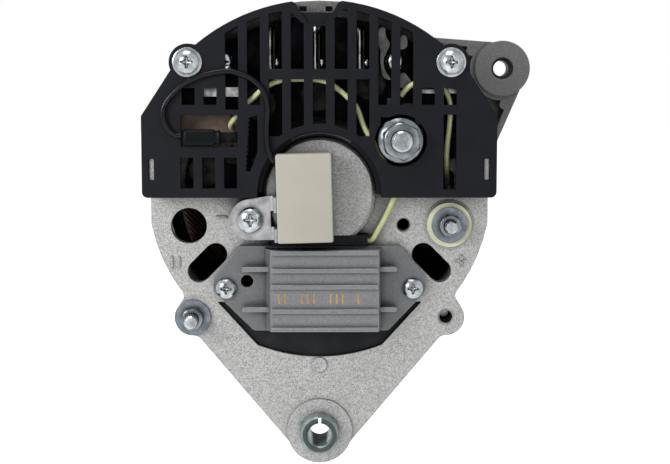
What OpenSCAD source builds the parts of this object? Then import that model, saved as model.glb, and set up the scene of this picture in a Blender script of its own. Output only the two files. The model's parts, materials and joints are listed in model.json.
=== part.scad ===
/* [Mounting] */
// Distance from the shaft axis down to the pivot bolt axis
pivot_drop = 95; // [92:1:100]
// Diameter of the pivot bolt holes, for an M8 bolt
pivot_bore_d = 9; // [8.5:0.5:10]
// Outside radius of both pivot lugs
lug_r = 12.8; // [12:0.2:14]
// Thickness of the front pivot lug
front_lug_t = 14; // [11:1:18]
// Thickness of the rear pivot lug
rear_lug_t = 14; // [12:1:18]
// Length of the split bush in the rear lug
bush_len = 22; // [20:1:26]
// Wall of the split bush
bush_wall = 3; // [2.5:0.5:3.5]
// Distance from the shaft axis to the adjuster ear hole
ear_reach = 93; // [90:0.5:97]
// Angle of the adjuster ear above the horizontal
ear_angle = 31; // [27:0.5:34]
// Outside radius of the adjuster ear
ear_r = 12; // [11:0.5:14]
// Thickness of the adjuster ear
ear_t = 16; // [13:1:18]
// Core diameter of the M8 thread in the adjuster ear
ear_thread_d = 6.8; // [6:0.1:7.6]

/* [Housing] */
// Outside diameter of the stator core
stator_od = 128; // [126:0.5:129]
// Length of the rear bracket
rear_depth = 32; // [30:1:36]
// Length of the front bracket
front_depth = 28; // [27:1:32]
// Radial wall of the brackets round the stator
rim_wall = 2.8; // [2.4:0.2:3.4]
// How far each bracket laps over the stator core
lap = 2; // [1:0.5:3]
// Thickness of the end walls of the brackets
end_wall = 5; // [4:0.5:6]
// Half width of the rear bracket between its flat sides
flat_half = 65.6; // [65.2:0.2:66.4]
// Radius of the rear bracket under the cover
crown_r = 73.4; // [72:0.2:74]
// Half of the side of the square on which the through bolts stand
bolt_half = 49.7; // [49.5:0.1:50.3]
// Radius of the bosses round the through bolts
boss_r = 7.2; // [6.6:0.2:7.8]
// Diameter of the through bolts
bolt_d = 5; // [4:0.5:5]
// Outside radius of the rear bearing hub
hub_r = 21.4; // [20:0.2:22.4]
// How far the rear bearing hub stands out of the rear face
hub_out = 9; // [8:0.5:10]

/* [Cover] */
// Height of the rear cover
cover_h = 14; // [13.5:0.5:17]
// Thickness of the plastic of the rear cover
cover_t = 2.5; // [2:0.25:2.5]
// Radius of the cover's arched edge
cover_r = 73.1; // [72.3:0.1:74]
// Half width of the cover
cover_half = 67.4; // [66.8:0.2:68.4]
// Pitch of the air slots
slot_pitch = 8.25; // [8.1:0.05:8.4]
// Width of the air slots
slot_w = 4.9; // [3:0.1:5.3]

/* [Regulator] */
// Distance between the two regulator screws
regulator_pitch = 72.6; // [71:0.2:74]
// Distance of the regulator screws below the shaft axis
regulator_drop = 37.6; // [37:0.2:38.2]
// Height of the finned block above the regulator's flange
block_h = 8; // [6:0.5:11]
// Height of the fins above the block
fin_h = 1.6; // [1:0.2:2.4]
// Width of a fin
fin_w = 1.6; // [1:0.1:2]
// Length of a new brush
brush_len = 16; // [14:0.5:17]
// Width of a brush
brush_w = 6.4; // [5:0.2:7]
// Thickness of a brush
brush_t = 4.6; // [4:0.1:4.8]

/* [Capacitor] */
// Width of the capacitor
capacitor_w = 21; // [17:0.5:22]
// Height of the capacitor
capacitor_h = 33.5; // [30:0.5:34.5]
// Depth of the capacitor
capacitor_d = 11; // [9:0.5:13]
// Diameter of the insulated leads
wire_d = 2.1; // [1.6:0.1:2.2]

/* [Rotor] */
// Diameter of the rotor over its claws
rotor_od = 89.2; // [88:0.1:89.4]
// Radial gap between the rotor and the stator
air_gap = 0.4; // [0.3:0.05:0.6]
// Claws on each pole piece
claws = 6;
// Length of the rotor over its two pole pieces
rotor_len = 46; // [44:1:47]
// Diameter of the shaft through the pulley and the front bearing
shaft_d = 17; // [16:0.5:18]
// Diameter of the shaft's rear journal
journal_d = 12; // [11:0.5:13]
// Diameter of the slip rings
slip_d = 26; // [24:0.5:27]
// Blades on the fan
blades = 12;
// Radius of the fan
fan_r = 60; // [56:1:62]
// Length of the fan blades
blade_h = 8.5; // [7:0.5:10]
// Radius of the pulley
pulley_r = 35; // [32:1:38]
// Radius at the bottom of the belt groove
groove_r = 22; // [20:1:24]
// Width of the belt groove at the rim
groove_w = 13; // [11:0.5:14]
// Length of the pulley
pulley_len = 24; // [22:1:28]

/* [Bearings] */
// Outside diameter of the front bearing
front_race_d = 47; // [46:0.5:48]
// Width of the front bearing
front_race_w = 14; // [13:0.5:14.5]
// Outside diameter of the rear bearing
rear_race_d = 32; // [31:0.5:33]
// Width of the rear bearing
rear_race_w = 10; // [9:0.5:10.5]

/* [Hidden] */
$fn = 64;
fit = 0.02;
gap = 0.3;

// The bench frame looks at the rear end: x to the right, y up, z towards the rear,
// with its origin where the shaft axis meets the rear face of the rear bracket.
pole_t = 12;
stator_len = rotor_len - pole_t;
rear_stop = -(rear_depth - lap);
front_stop = rear_stop - stator_len;
front_rim = front_stop + lap;
front_face = front_rim - front_depth;
rotor_mid = (rear_stop + front_stop) / 2;
rotor_rear = rotor_mid + rotor_len / 2;
rotor_front = rotor_mid - rotor_len / 2;
lug_face = front_face + front_lug_t;
stator_r = stator_od / 2;
stator_bore_r = rotor_od / 2 + air_gap;
slots = 36;
head_len = 10;
shell_r = stator_r + rim_wall;
cavity_r = stator_r - 2;
bush_r = pivot_bore_d / 2 + bush_wall;
lug_pad = 1;
bush_rear = 8.5;
blend = 4;
web_edge = 3.2;
web_t = 6;
bolts = [for (x = [-1, 1]) for (y = [-1, 1]) [x * bolt_half, y * bolt_half]];
ear_at = [ear_reach * cos(ear_angle), ear_reach * sin(ear_angle)];

// Rear end
rear_race_z = -4;
rear_race_end = rear_race_z + rear_race_w;
rear_windows = [[14, 42, 31, 47], [48, 62, stator_bore_r, stator_bore_r + 15.6],
    [66, 100, stator_bore_r, stator_bore_r + 15.6], [104, 120, stator_bore_r, stator_bore_r + 15.6],
    [138, 166, 31, 47]];
regulator_x = regulator_pitch / 2;
flange_z = 1;
flange_t = 3;
flange_top = flange_z + flange_t;
flange_up = -21;
flange_low = -54.2;
holder_half = 18.6;
holder_top = flange_up + 4.3;
slip_w = 5.5;
slip_step = 7.5;
slip_z = rotor_rear + 3 + slip_w / 2;
slip_places = [slip_z, slip_z + slip_step];
brush_clear = 0.1;
brush_top = -(slip_d / 2 + 0.05);
brush_low = brush_top - brush_len;
guide_low = -43;
tower_wall = 1.5;
tower_top = brush_top - 2;
spring_turns = 5;
crescent_r = 65.4;
stud_at = [30.9, 20.2];
stud_r = 4;
nut_z = 12.4;
nut_end = 20.6;
thread_drop = 0.3;
free_step = 0.1;
d_plus_at = [50.6, -13.1];
d_plus_r = bolt_d / 2;
insulator_top = 1.7;
m5_washer_t = 1.1;
m5_nut_t = 4.4;
cap_screw_at = [-26.4, -10.2];
cap_pad = hub_out + gap;
cap_strap_t = 1.1;
cap_case_z = cap_pad + cap_strap_t + 0.1;
cap_mid = [-5.6, -1.3];
cap_tilt = 1.5;
strap_low = -capacitor_h / 2 + 0.4;
strap_high = 0.6;
strap_bend = 1.4;
cover_in = cover_h - cover_t;
cover_low = -1.5;
cover_arc = 40.3;
tongue_x = 63.6;
fin_rows = [[-22.8, 0], [-29.6, 1], [-35.9, 0], [-45.3, 1], [-52.4, 0]];
block_left = -18.8;
block_right = 22.9;
m5_seats = [[d_plus_at, insulator_top], [[-bolt_half, -bolt_half], 0]];

// Rectifier, whose places are drawn for a cover radius of 73.1
spread = cover_r / 73.1;
neg_z = 1.2;
pos_z = 6.2;
sink_t = 2.4;
sink_in = 29;
pos_out = 50 * spread;
neg_out = cover_r - cover_t - 3.2;
sink_screws = [[-36.2, 49.9], [28.8, 50.1]] * spread;
sink_screw_r = 2;
diode_r = 6.3;
lead_x = [-18, -0.9, 16] * spread;
notch_r = 53.4 * spread;
pos_diodes = [[-23, 34], [-0.5, 37.5], [19, 42]] * spread;
neg_diodes = [[-44, 8.4], [-33.5, 17.2], [42, 18]] * spread;
exciter_at = [[27.5, 34.5], [33.5, 32.5], [38.2, 27.9]] * spread;
board = [-54.5, -30.5, 14.5, 30] * spread;
board_feet = [[-52, 17.5], [-52, 27.5]] * spread;
board_z = 5.2;
window = [-52.4, -31, 17.9, 29.8] * spread;
sleeve = [-52, -37.4, 18.3, 24.5];
sleeve_z = 11.6;
sleeve_t = 4.9;

// Front end
front_race_front = front_face + 1.5;
front_race_rear = front_race_front + front_race_w;
retainer_t = 2;
front_hub_r = front_race_d / 2 + 9;
screw_ring_r = front_race_d / 2 + 4.5;
spacer_r = 13;
fan_face = front_face - 2.5 - blade_h;
fan_t = 2;
pulley_rear = fan_face - fan_t;
pulley_mid = pulley_rear - pulley_len / 2;
pulley_front = pulley_rear - pulley_len;
shim_half = 2.2;
shim_r = groove_r - 2;
pulley_boss_r = 15;
pulley_t = 3;
washer_t = 3;
nut_t = 9;
thread_r = shaft_d / 2 - 0.5;
shaft_end = pulley_front - washer_t - nut_t - 3;
key_w = 4;
key_r = 6.5;
key_up = shaft_d / 2 + 1.8;

// Rotor
shaft_r = shaft_d / 2;
journal_r = journal_d / 2;
balls = 7;
front_ball_r = 4.3;
rear_ball_r = 2.9;
front_pitch_r = (shaft_r + front_race_d / 2) / 2;
rear_pitch_r = (journal_r + rear_race_d / 2) / 2;
rotor_r = rotor_od / 2;
pole_seat_r = 9.5;
slip_seat_r = 8.75;
insulator_r = 10.5;
claw_root_r = rotor_r - 8.6;
claw_tip_r = rotor_r - 4.1;
core_r = claw_root_r - 12;
claw_root_w = 15.5;
claw_tip_w = 5.5;
claw_end = 2;

// Routes of the leads, as chosen places in the bench frame
function widen(p) = [for (q = p) [q.x * spread, q.y * spread, q.z]];
capacitor_route = [[-16.68, 12.72, 15.5], [-17.6, 12.8, 15.5], [-18.7, 15.1, 15.5], [-19.7, 18.8, 15.5],
    [-19.9, 25, 15.4], [-19.5, 32.5, 15.4], [-21, 38.6, 15.4], [-25.3, 43.3, 15.4],
    [-30.5, 45.6, 15.4], [-34.8, 46.4, 15.4], [-42.4, 45.2, 15.4], [-49.7, 42.2, 15.4],
    [-55.3, 37.8, 15.4], [-58.8, 32.6, 15.4], [-58.6, 27.8, 15.4], [-56.6, 24, 15.3],
    [-54, 22.3, 15.2], [-52.06, 22.3, 15.2]];
regulator_route = concat(widen([[-33.6, 24.8, 6.4], [-33.8, 26, 8.4], [-32.6, 28, 10.1], [-29.5, 31.9, 10.4],
    [-25.6, 35.8, 10.2], [-19.5, 41, 10], [-12, 43.2, 10], [0, 43, 10], [6, 40.4, 10],
    [13.6, 33.5, 10], [17.3, 24.6, 10], [21.7, 17.7, 9.6]]), [[26.2, 9, 7.6], [28.9, 1, 5.2],
    [28.5, -2.9, 4.4], [26.8, -7.2, 3.6], [24.7, -11.5, 3], [22.5, -15.4, 2.7], [21.2, -17.9, 2.6],
    [20, -19, 2.6], [holder_half + 0.06, -19.1, 2.6]]);
d_plus_route = concat(widen([[31, 37, 9.8], [34.8, 41, 10], [41, 42.4, 10], [47, 40, 10], [49.8, 34, 10],
    [49.6, 26, 9.8], [48.8, 17, 8.6]]), [[49, 9, 5], [49.8, 4.5, -1], [50.4, -1, -7],
    [50.6, d_plus_at.y + 5.1, -7.1]]);
lead_end = [stator_bore_r + 9, rear_stop + head_len - 0.1];
function lead_route(x) = [[x, notch_r - 6.4, 9.6], [x, notch_r - 0.4, 9.9], [x, notch_r + 5.6, 9.7],
    [x, notch_r + 9, 8], [x, notch_r + 8.8, 5], [x, notch_r + 5.6, 2.9],
    [x, lead_end[0] + 1.8, 0.8], [x, lead_end[0] + 0.8, -4],
    [x, lead_end[0] + 0.6, lead_end[1] / 2], [x, lead_end[0], lead_end[1]]];

// Stands the bench frame up: the shaft lies along Y, the rear end at -Y, and
// the origin is on the pivot bolt axis at the inner face of the front lug.
module placed() translate([0, lug_face, pivot_drop]) rotate([90, 0, 0]) children();

function unit(v) = v / norm(v);
function polar(r, a) = [r * cos(a), r * sin(a)];
function turn(d) = d > 180 ? d - 360 : d < -180 ? d + 360 : d;

// Points of the arc that rounds corner p between its neighbours a and b
function corner(a, p, b, r, n) = r <= 0 ? [p] :
    let (u = unit(a - p), v = unit(b - p), half = acos(u * v) / 2,
         c = p + unit(u + v) * r / sin(half), s = p + u * r / tan(half) - c,
         e = p + v * r / tan(half) - c, a0 = atan2(s.y, s.x),
         sweep = turn(atan2(e.y, e.x) - a0))
    [for (i = [0 : n]) c + polar(r, a0 + sweep * i / n)];

// Outline through corners [x, y, radius], each rounded with n steps
function outline(k, n = 5) = [for (i = [0 : len(k) - 1])
    let (m = len(k), a = k[(i + m - 1) % m], p = k[i], b = k[(i + 1) % m])
    each corner([a.x, a.y], [p.x, p.y], [b.x, b.y], p.z, n)];

function arc(c, r, a0, a1, n) = [for (i = [0 : n]) c + polar(r, a0 + (a1 - a0) * i / n)];

// Annular sector between two radii and two angles
module sector(r0, r1, a0, a1, n = 8)
    polygon(concat(arc([0, 0], r0, a0, a1, n), arc([0, 0], r1, a1, a0, n)));

module slab(z0, z1) translate([0, 0, z0]) linear_extrude(z1 - z0) children();

module rod(at, r, z0, z1) translate([at.x, at.y, z0]) cylinder(h = z1 - z0, r = r);

module cone(at, r0, r1, z0, z1) translate([at.x, at.y, z0]) cylinder(h = z1 - z0, r1 = r0, r2 = r1);

module ring(r0, r1, z0, z1) slab(z0, z1) difference() {
    circle(r1);
    circle(r0);
}

module panel(b) translate([b[0], b[2]]) square([b[1] - b[0], b[3] - b[2]]);

// Straight slot with round ends, from a to b
module slot_shape(a, b, r) {
    d = unit(b - a);
    start = atan2(d.x, -d.y);
    polygon(concat(arc(a, r, start, start + 180, 10), arc(b, r, start + 180, start + 360, 10)));
}

// Smooth curve through hand-chosen points, n steps from each to the next
function spline_at(p, i, t) =
    let (a = p[max(i - 1, 0)], b = p[i], c = p[i + 1], d = p[min(i + 2, len(p) - 1)])
    0.5 * (2 * b + (c - a) * t + (2 * a - 5 * b + 4 * c - d) * t * t
           + (3 * b - a - 3 * c + d) * t * t * t);
function smooth(p, n) = concat(
    [for (i = [0 : len(p) - 2]) for (k = [0 : n - 1]) spline_at(p, i, k / n)], [p[len(p) - 1]]);
function heading(p, i) = unit(p[min(i + 1, len(p) - 1)] - p[max(i - 1, 0)]);
function sideways(p, i, n) = i >= len(p) ? [] :
    let (t = heading(p, i), m = unit(n - t * (n * t))) concat([m], sideways(p, i + 1, m));

// Round wire of radius r along a path
module wire(path, r, sides = 8) {
    across = sideways(path, 0, [0.12, 0.25, 1]);
    points = [for (i = [0 : len(path) - 1]) for (k = [0 : sides - 1])
        let (n = across[i], b = cross(heading(path, i), n), a = 360 * k / sides)
        path[i] + r * (n * cos(a) + b * sin(a))];
    last = (len(path) - 1) * sides;
    skin = [for (i = [0 : len(path) - 2]) for (k = [0 : sides - 1])
        let (a = i * sides + k, b = i * sides + (k + 1) % sides)
        each [[a, a + sides, b + sides], [a, b + sides, b]]];
    ends = [[for (k = [0 : sides - 1]) k], [for (k = [sides - 1 : -1 : 0]) last + k]];
    polyhedron(points, concat(skin, ends), convexity = 6);
}

// Hexagon nut with a round bore, chamfered at both ends
module hex_nut(at, flats, bore_r, z0, z1, cut = 0.6) translate([at.x, at.y, 0]) difference() {
    intersection() {
        slab(z0, z1) circle(d = flats / cos(30), $fn = 6);
        rotate_extrude() polygon([[0, z0], [flats / 2 - cut / 4, z0], [flats / 2 + cut * 1.7, z0 + cut],
            [flats / 2 + cut * 1.7, z1 - cut], [flats / 2 - cut / 4, z1], [0, z1]]);
    }
    translate([0, 0, z0 - 1]) cylinder(h = z1 - z0 + 2, r = bore_r);
}

// Pan-head screw: its washer or head sits on z0 and its shank goes down to z1
module pan_screw(at, head_r, head_h, shank_r, z0, z1, washer_r = 0, washer_t = 0) {
    top = z0 + washer_t + head_h;
    side = z0 + washer_t + head_h * 0.5;
    seat = washer_r > 0 ? [[washer_r, z0], [washer_r, z0 + washer_t]] : [];
    translate([at.x, at.y, 0]) difference() {
        rotate_extrude() polygon(concat(
            [[0, z1], [shank_r - 0.4, z1], [shank_r, z1 + 0.4], [shank_r, z0]], seat,
            [[head_r, z0 + washer_t]],
            [for (a = [0 : 15 : 90]) [head_r * cos(a), side + (top - side) * sin(a)]]));
        slab(top - head_h * 0.45, top + 1) {
            square([head_r, head_r * 0.26], center = true);
            square([head_r * 0.26, head_r], center = true);
        }
    }
}

// Casting outline: the round body with its four bolt bosses, all blended together
module body_shape(top_r) offset(r = -blend) offset(delta = blend) {
    intersection() {
        union() {
            circle(shell_r);
            intersection() {
                circle(top_r);
                translate([-top_r, 0]) square(2 * top_r);
            }
        }
        square([2 * flat_half, 3 * top_r], center = true);
    }
    for (p = bolts) translate(p) circle(boss_r);
}

// Triangular web that carries a pivot lug
module web_shape(inset = 0) hull($fn = 32) {
    translate([0, -pivot_drop]) circle(lug_r - 0.6 - inset);
    for (x = [-1, 1]) translate([x * bolt_half, -bolt_half]) circle(web_edge - inset);
}

module ear_shape(inset = 0) hull($fn = 32) {
    translate(ear_at) circle(ear_r - 0.6 - inset);
    circle(shell_r - 1.5);
}

// Opening in the rear bracket for the brush holder, under the regulator
module holder_opening(clear = 0) {
    end = 22;
    polygon(concat(
        [[-holder_half - 0.4 + clear, holder_top + 0.3 - clear],
         [-holder_half - 0.4 + clear, -43.5 - clear], [-40 + 1.4 * clear, -43.5 - clear]],
        arc([0, 0], crescent_r - clear, 270 - end, 270 + end, 14),
        [[40 - 1.4 * clear, -43.5 - clear], [holder_half + 0.4 - clear, -43.5 - clear],
         [holder_half + 0.4 - clear, holder_top + 0.3 - clear]]));
}

module cast_hub() rotate_extrude() polygon([[0, -7], [hub_r - 1, -7], [hub_r - 1, 1], [hub_r, 1.6],
    [hub_r, hub_out - 1.2], [hub_r - 1.2, hub_out], [0, hub_out]]);

module rear_bracket() color([0.73, 0.73, 0.73]) placed() difference() {
    union() {
        slab(-rear_depth, -end_wall) difference() {
            body_shape(crown_r);
            circle(cavity_r);
        }
        slab(-end_wall, 0) offset(r = -blend) offset(delta = blend) {
            body_shape(crown_r);
            web_shape();
        }
        slab(lug_pad - rear_lug_t, -end_wall) difference() {
            web_shape(0.4);
            web_shape(4.4 - web_edge / 2);
            circle(shell_r - 1);
        }
        rod([0, -pivot_drop], lug_r, lug_pad - rear_lug_t, lug_pad);
        cast_hub();
        rod(cap_screw_at, 7.4, -end_wall, cap_pad);
        for (x = [-1, 1]) rod([x * regulator_x, -regulator_drop], 5, -end_wall, flange_z);
        for (p = sink_screws) rod(p, 5, -end_wall - 4, neg_z);
        rod([0, -68.6], 2.9, -end_wall, 0.5);
        rod(d_plus_at, 9.6, -end_wall, 0.4);
        for (x = [-1, 1]) slab(-1, cover_h - 0.8) translate([x * tongue_x - 0.9, 5.2]) square([1.8, 8.2]);
    }
    rod([0, 0], stator_r + fit, -rear_depth - 1, rear_stop);
    rod([0, 0], rear_race_d / 2 + fit, -20, rear_race_end);
    rod([0, 0], rear_race_d / 2 - 3, 0, rear_race_end + 0.8);
    slab(-end_wall - 3, hub_out + 1) holder_opening();
    slab(gap, hub_out + 1) translate([-holder_half - 1.5, -60])
        square([2 * holder_half + 3, 60 + holder_top + 0.3]);
    for (p = bolts) rod(p, bolt_d / 2 + fit, -rear_depth - 1, 1);
    cone([bolt_half, -bolt_half], bolt_d / 2, bolt_d / 2 + 1, -1, 0.1);
    rod([-50.9, -13.5], 7, -rear_depth + 6, 1);
    for (x = [-1, 1]) slab(-end_wall - 1, 1) slot_shape([x * 40.5, -24.8], [x * 47.1, -31.4], 4.5);
    rod([32.8, -13.2], 2.4, -end_wall - 1, 1);
    cone([32.8, -13.2], 2.4, 3, -0.6, 0.1);
    rod(d_plus_at, 4.5, -end_wall - 1, 1);
    for (x = [-1, 1]) rod([x * regulator_x, -regulator_drop], 2 + fit, -end_wall - 1, 2);
    rod(cap_screw_at, 2.5 + fit, -end_wall + 1, cap_pad + 1);
    for (p = sink_screws) rod(p, sink_screw_r + fit, -end_wall - 2, neg_z + 1);
    for (a = rear_windows) slab(-end_wall - 1, 1)
        sector(a[2], a[3], a[0], a[1], 6);
    slab(-end_wall - 1, 1) slot_shape([49.9, 1.9], [49.9, 5.4], 2.6);
    rod([-28.2, -34.8], 3.2, -end_wall - 1, 1);
    for (b = [[-7.7, -4.8, 69.2, 71.2], [2.4, 5.2, 69.2, 71.2]]) slab(-2.5, 1) panel(b);
    for (a = [-24, 4, 158, 186]) slab(rear_stop + 4, -end_wall - 4) sector(50, 90, a, a + 18, 3);
    for (a = [242, 262, 282]) slab(rear_stop + 4, -end_wall - 10) sector(50, 69, a, a + 14, 3);
    for (a = [60, 82, 104]) slab(rear_stop + 4, -end_wall - 4) sector(50, 90, a, a + 16, 3);
    rod([0, -pivot_drop], bush_r + fit, -rear_lug_t, lug_pad + 1);
}

module front_bracket() color([0.42, 0.42, 0.43]) placed() difference() {
    union() {
        slab(front_face + end_wall, front_rim) difference() {
            body_shape(shell_r);
            circle(cavity_r);
        }
        slab(front_face, front_face + end_wall) offset(r = -blend) offset(delta = blend) {
            body_shape(shell_r);
            web_shape();
            ear_shape();
        }
        slab(front_face + end_wall, lug_face) difference() {
            web_shape(0.4);
            web_shape(4.4 - web_edge / 2);
            circle(shell_r - 1);
        }
        slab(front_face + end_wall, front_face + ear_t - 2) difference() {
            ear_shape(0.4);
            circle(cavity_r);
            difference() {
                ear_shape(4);
                circle(shell_r + 3);
                translate(ear_at) circle(ear_r + 2);
            }
        }
        rod([0, -pivot_drop], lug_r, front_face, lug_face);
        rod(ear_at, ear_r, front_face, front_face + ear_t);
        rod([0, 0], front_hub_r, front_face, front_race_rear);
        for (a = [0 : 36 : 324]) rotate(a + 18) slab(front_face + end_wall - 1, front_face + end_wall + 5)
            translate([front_hub_r - 2, -1.6]) square([cavity_r - front_hub_r + 3, 3.2]);
    }
    rod([0, 0], stator_r + fit, front_stop, front_rim + 1);
    rod([0, 0], front_race_d / 2 + fit, front_race_front, front_race_rear + 1);
    rod([0, 0], spacer_r + 1.5, front_face - 1, front_race_front + 1);
    for (p = bolts) rod(p, bolt_d / 2 + fit, front_face - 1, front_rim + 1);
    for (a = [0 : 36 : 324]) slab(front_face - 1, front_face + end_wall + 1) sector(39, 56, a + 5, a + 31, 5);
    for (a = [0 : 120 : 240])
        rod(polar(screw_ring_r, a + 90), 2 + fit, front_race_rear - 9, front_race_rear + 1);
    rod([0, -pivot_drop], pivot_bore_d / 2, front_face - 1, lug_face + 1);
    rod(ear_at, ear_thread_d / 2, front_face - 1, front_face + ear_t + 1);
    rod(ear_at, 4.8, front_face + ear_t - 4, front_face + ear_t + 1);
    cone(ear_at, ear_thread_d / 2, 4.8, front_face + ear_t - 5.4, front_face + ear_t - 3.9);
    for (a = [-30, -6, 158, 182, 236, 258, 280]) slab(front_face + end_wall + 5, front_stop - 3)
        sector(50, a > 200 ? 70 : 90, a, a + 16, 3);
    for (a = [62, 84, 106]) slab(front_face + end_wall + 5, front_stop - 3) sector(50, 90, a, a + 16, 3);
}

module stator_core() color([0.33, 0.33, 0.35]) placed() slab(front_stop, rear_stop) difference() {
    circle(stator_r);
    circle(stator_bore_r);
    for (i = [0 : slots - 1]) rotate(360 * i / slots) {
        translate([stator_bore_r - 1, -1.1]) square([3, 2.2]);
        translate([stator_bore_r + 1.5, -1.8]) square([9.5, 3.6]);
    }
}

module winding_head(z0, z1) {
    r0 = stator_bore_r + 1.6;
    r1 = stator_bore_r + 11.6;
    rotate_extrude() polygon(outline([[r0, z0, 0.6], [r1, z0, 0.6], [r1, z1, 3.4], [r0, z1, 3.4]], 4));
}

module stator_winding() color([0.72, 0.4, 0.2]) placed() {
    for (i = [0 : slots - 1]) rotate(360 * i / slots)
        slab(front_stop - 1, rear_stop + 1) translate([stator_bore_r + 2, -1.6]) square([8.8, 3.2]);
    winding_head(rear_stop + gap, rear_stop + head_len);
    mirror([0, 0, 1]) winding_head(-front_stop + gap, -front_stop + head_len);
}

// Long bolts that clamp the brackets on the stator; one runs on as a stud at the rear
module through_bolts() color([0.75, 0.77, 0.78]) placed() for (p = bolts) {
    stud = p.x < 0 && p.y < 0;
    tip = stud ? 13 : -13;
    hex_nut(p, 8, bolt_d / 4, front_face - 4.6, front_face - 1);
    ring_at(p, bolt_d / 4, 5.4, front_face - 1, front_face);
    rod(p, bolt_d / 2, front_face - 4.2, stud ? m5_washer_t : tip - 0.6);
    if (stud) stud_end(p, d_plus_r, m5_washer_t, m5_washer_t + m5_nut_t, tip - 0.6);
    cone(p, bolt_d / 2, bolt_d / 2 - 0.6, tip - 0.6, tip);
}

// End of a stud: its thread's core inside a nut, then its full thread beyond the nut
module stud_end(at, r, nut_low, nut_high, end) {
    rod(at, r - thread_drop, nut_low - 1, nut_high + free_step);
    rod(at, r, nut_high + free_step, end);
}

module ring_at(at, r0, r1, z0, z1) translate([at.x, at.y, 0]) ring(r0, r1, z0, z1);

// Cover outline: an arch over the hub with chamfered shoulders
module cover_shape() {
    difference() {
        polygon(concat(
            corner([cover_half, 0], [cover_half, cover_low], [0, cover_low], 2.2, 4),
            corner([0, cover_low], [-cover_half, cover_low], [-cover_half, 0], 2.2, 4),
            [[-cover_half, 29.5]], arc([0, 0], cover_r, 180 - cover_arc, cover_arc, 30),
            [[cover_half, 29.5]]));
        circle(hub_r + 2.2);
        translate([-hub_r - 2.2, cover_low - 1]) square([2 * hub_r + 4.4, -cover_low + 1]);
    }
}

module cover_bosses() for (x = [-1, 1]) translate([x * bolt_half, bolt_half]) circle(boss_r - 0.2);

module air_slot(i, low, high) translate([i * slot_pitch - slot_w / 2, low]) square([slot_w, high - low]);

module cover_slots() {
    intersection() {
        circle(cover_r - cover_t - 0.4);
        difference() {
            union() {
                for (i = [-4, -3, 3, 4]) air_slot(i, i == -4 ? 31.9 : 33.7, cover_r);
                for (i = [-2 : 2]) {
                    air_slot(i, 47.2, cover_r);
                    air_slot(i, 21.8, 43.3);
                }
            }
            circle(hub_r + 5.2);
            polygon([[-12.4, cover_r], [-11.6, 69.4], [-6.8, 64.6], [-4.4, 63.4], [4.4, 63.4],
                [5.4, 65.9], [8.9, 69.4], [9.6, cover_r]]);
        }
    }
    for (i = [-6, -5, 5, 6]) air_slot(i, 33.7, 40);
    for (i = [-6, -5, -4]) translate([-0.7, 0]) air_slot(i, 2, 13.8);
    air_slot(6, 1.6, 30);
    panel(window);
    for (x = [-1, 1]) translate([x * tongue_x - 1.1, 5]) square([2.2, 8.6]);
}

// Tapered slot with a saw-toothed edge beside the window
module toothed_slot() {
    teeth = 11;
    polygon(concat([[-23.4, 29.8], [-23.4, 16], [-26.2, 8.4]],
        [for (i = [0 : 2 * teeth])
            [-28.1 + 1.3 * i / (2 * teeth) + (i % 2) * 0.6, 8.8 + 20 * i / (2 * teeth)]]));
}

module rear_cover() color([0.18, 0.18, 0.2]) placed() difference() {
    union() {
        slab(cover_in, cover_h) {
            cover_shape();
            cover_bosses();
        }
        slab(gap, cover_in) difference() {
            union() {
                cover_shape();
                cover_bosses();
            }
            difference() {
                offset(delta = -cover_t) cover_shape();
                cover_bosses();
            }
        }
        slab(0, gap) cover_bosses();
        slab(4, 8) sector(hub_r + 0.4, hub_r + 2.6, 0, 180, 24);
    }
    slab(cover_in - 1, cover_h + 1) {
        cover_slots();
        toothed_slot();
    }
    rod(stud_at, 9.8, cover_in - 1, cover_h + 1);
    slab(cover_in - 1, cover_h + 1) panel([23.2, 27.4, 25.6, 29]);
    for (x = [-1, 1]) rod([x * bolt_half, bolt_half], 2.7, -1, cover_h + 1);
    slab(-1, cover_h + 1) polygon([[-11.2, 75], [-10.7, 72.45], [-9.8, 72.2], [-8.9, 71.5], [-7.9, 70.2],
        [-7, 68.35], [5, 68.35], [6.1, 70], [6.7, 71.3], [7.5, 72.2], [8.4, 72.5], [8.9, 75]]);
    slab(cover_h - 1.2, cover_h + 1) polygon([[-7.1, 69], [-4.2, 63.9], [2.4, 63.9], [5.1, 69]]);
    slab(-1, 7.5) translate([25.4, cover_low - 1]) square([7.2, cover_t + 2]);
}

module cover_screws() color([0.78, 0.8, 0.82]) placed() for (x = [-1, 1])
    pan_screw([x * bolt_half, bolt_half], 4.35, 3.2, bolt_d / 2, cover_h, -10, 5.6, 1);

// Regulator: a die-cast plate with two screw ends and a finned block
module regulator_body() color([0.57, 0.57, 0.58]) placed() difference() {
    union() {
        slab(flange_z, flange_top) polygon(outline([[-31, flange_up, 1.5], [31.5, flange_up, 1.5],
            [regulator_x + 7.2, -36.5, 6], [26.8, flange_low, 2], [-25.6, flange_low, 2],
            [-regulator_x - 7.2, -36.5, 6]]));
        translate([0, flange_low + 0.8, 0]) rotate([-90, 0, 0]) linear_extrude(flange_up - flange_low - 1.6)
            polygon([[block_left - 3, 1 - flange_top], [block_left - 2.4, -flange_top - 1],
                [block_left, -flange_top - block_h], [block_right, -flange_top - block_h],
                [block_right + 1.2, -flange_top - 1], [block_right + 1.6, 1 - flange_top]]);
        for (f = fin_rows) {
            slab(flange_top, flange_top + block_h + fin_h)
                translate([block_left + 0.4, f[0] - fin_w / 2])
                    square([block_right - block_left - 0.8, fin_w]);
            if (f[1] > 0) slab(flange_top - 1, flange_top + block_h * 0.62)
                slot_shape([-29, f[0]], [29, f[0]], fin_w * 0.56);
        }
    }
    for (x = [-1, 1]) rod([x * regulator_x, -regulator_drop], 2.3, 0, flange_top + 1);
    rod([-28.2, -34.8], 2.5, 0, flange_top + 1);
}

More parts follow.
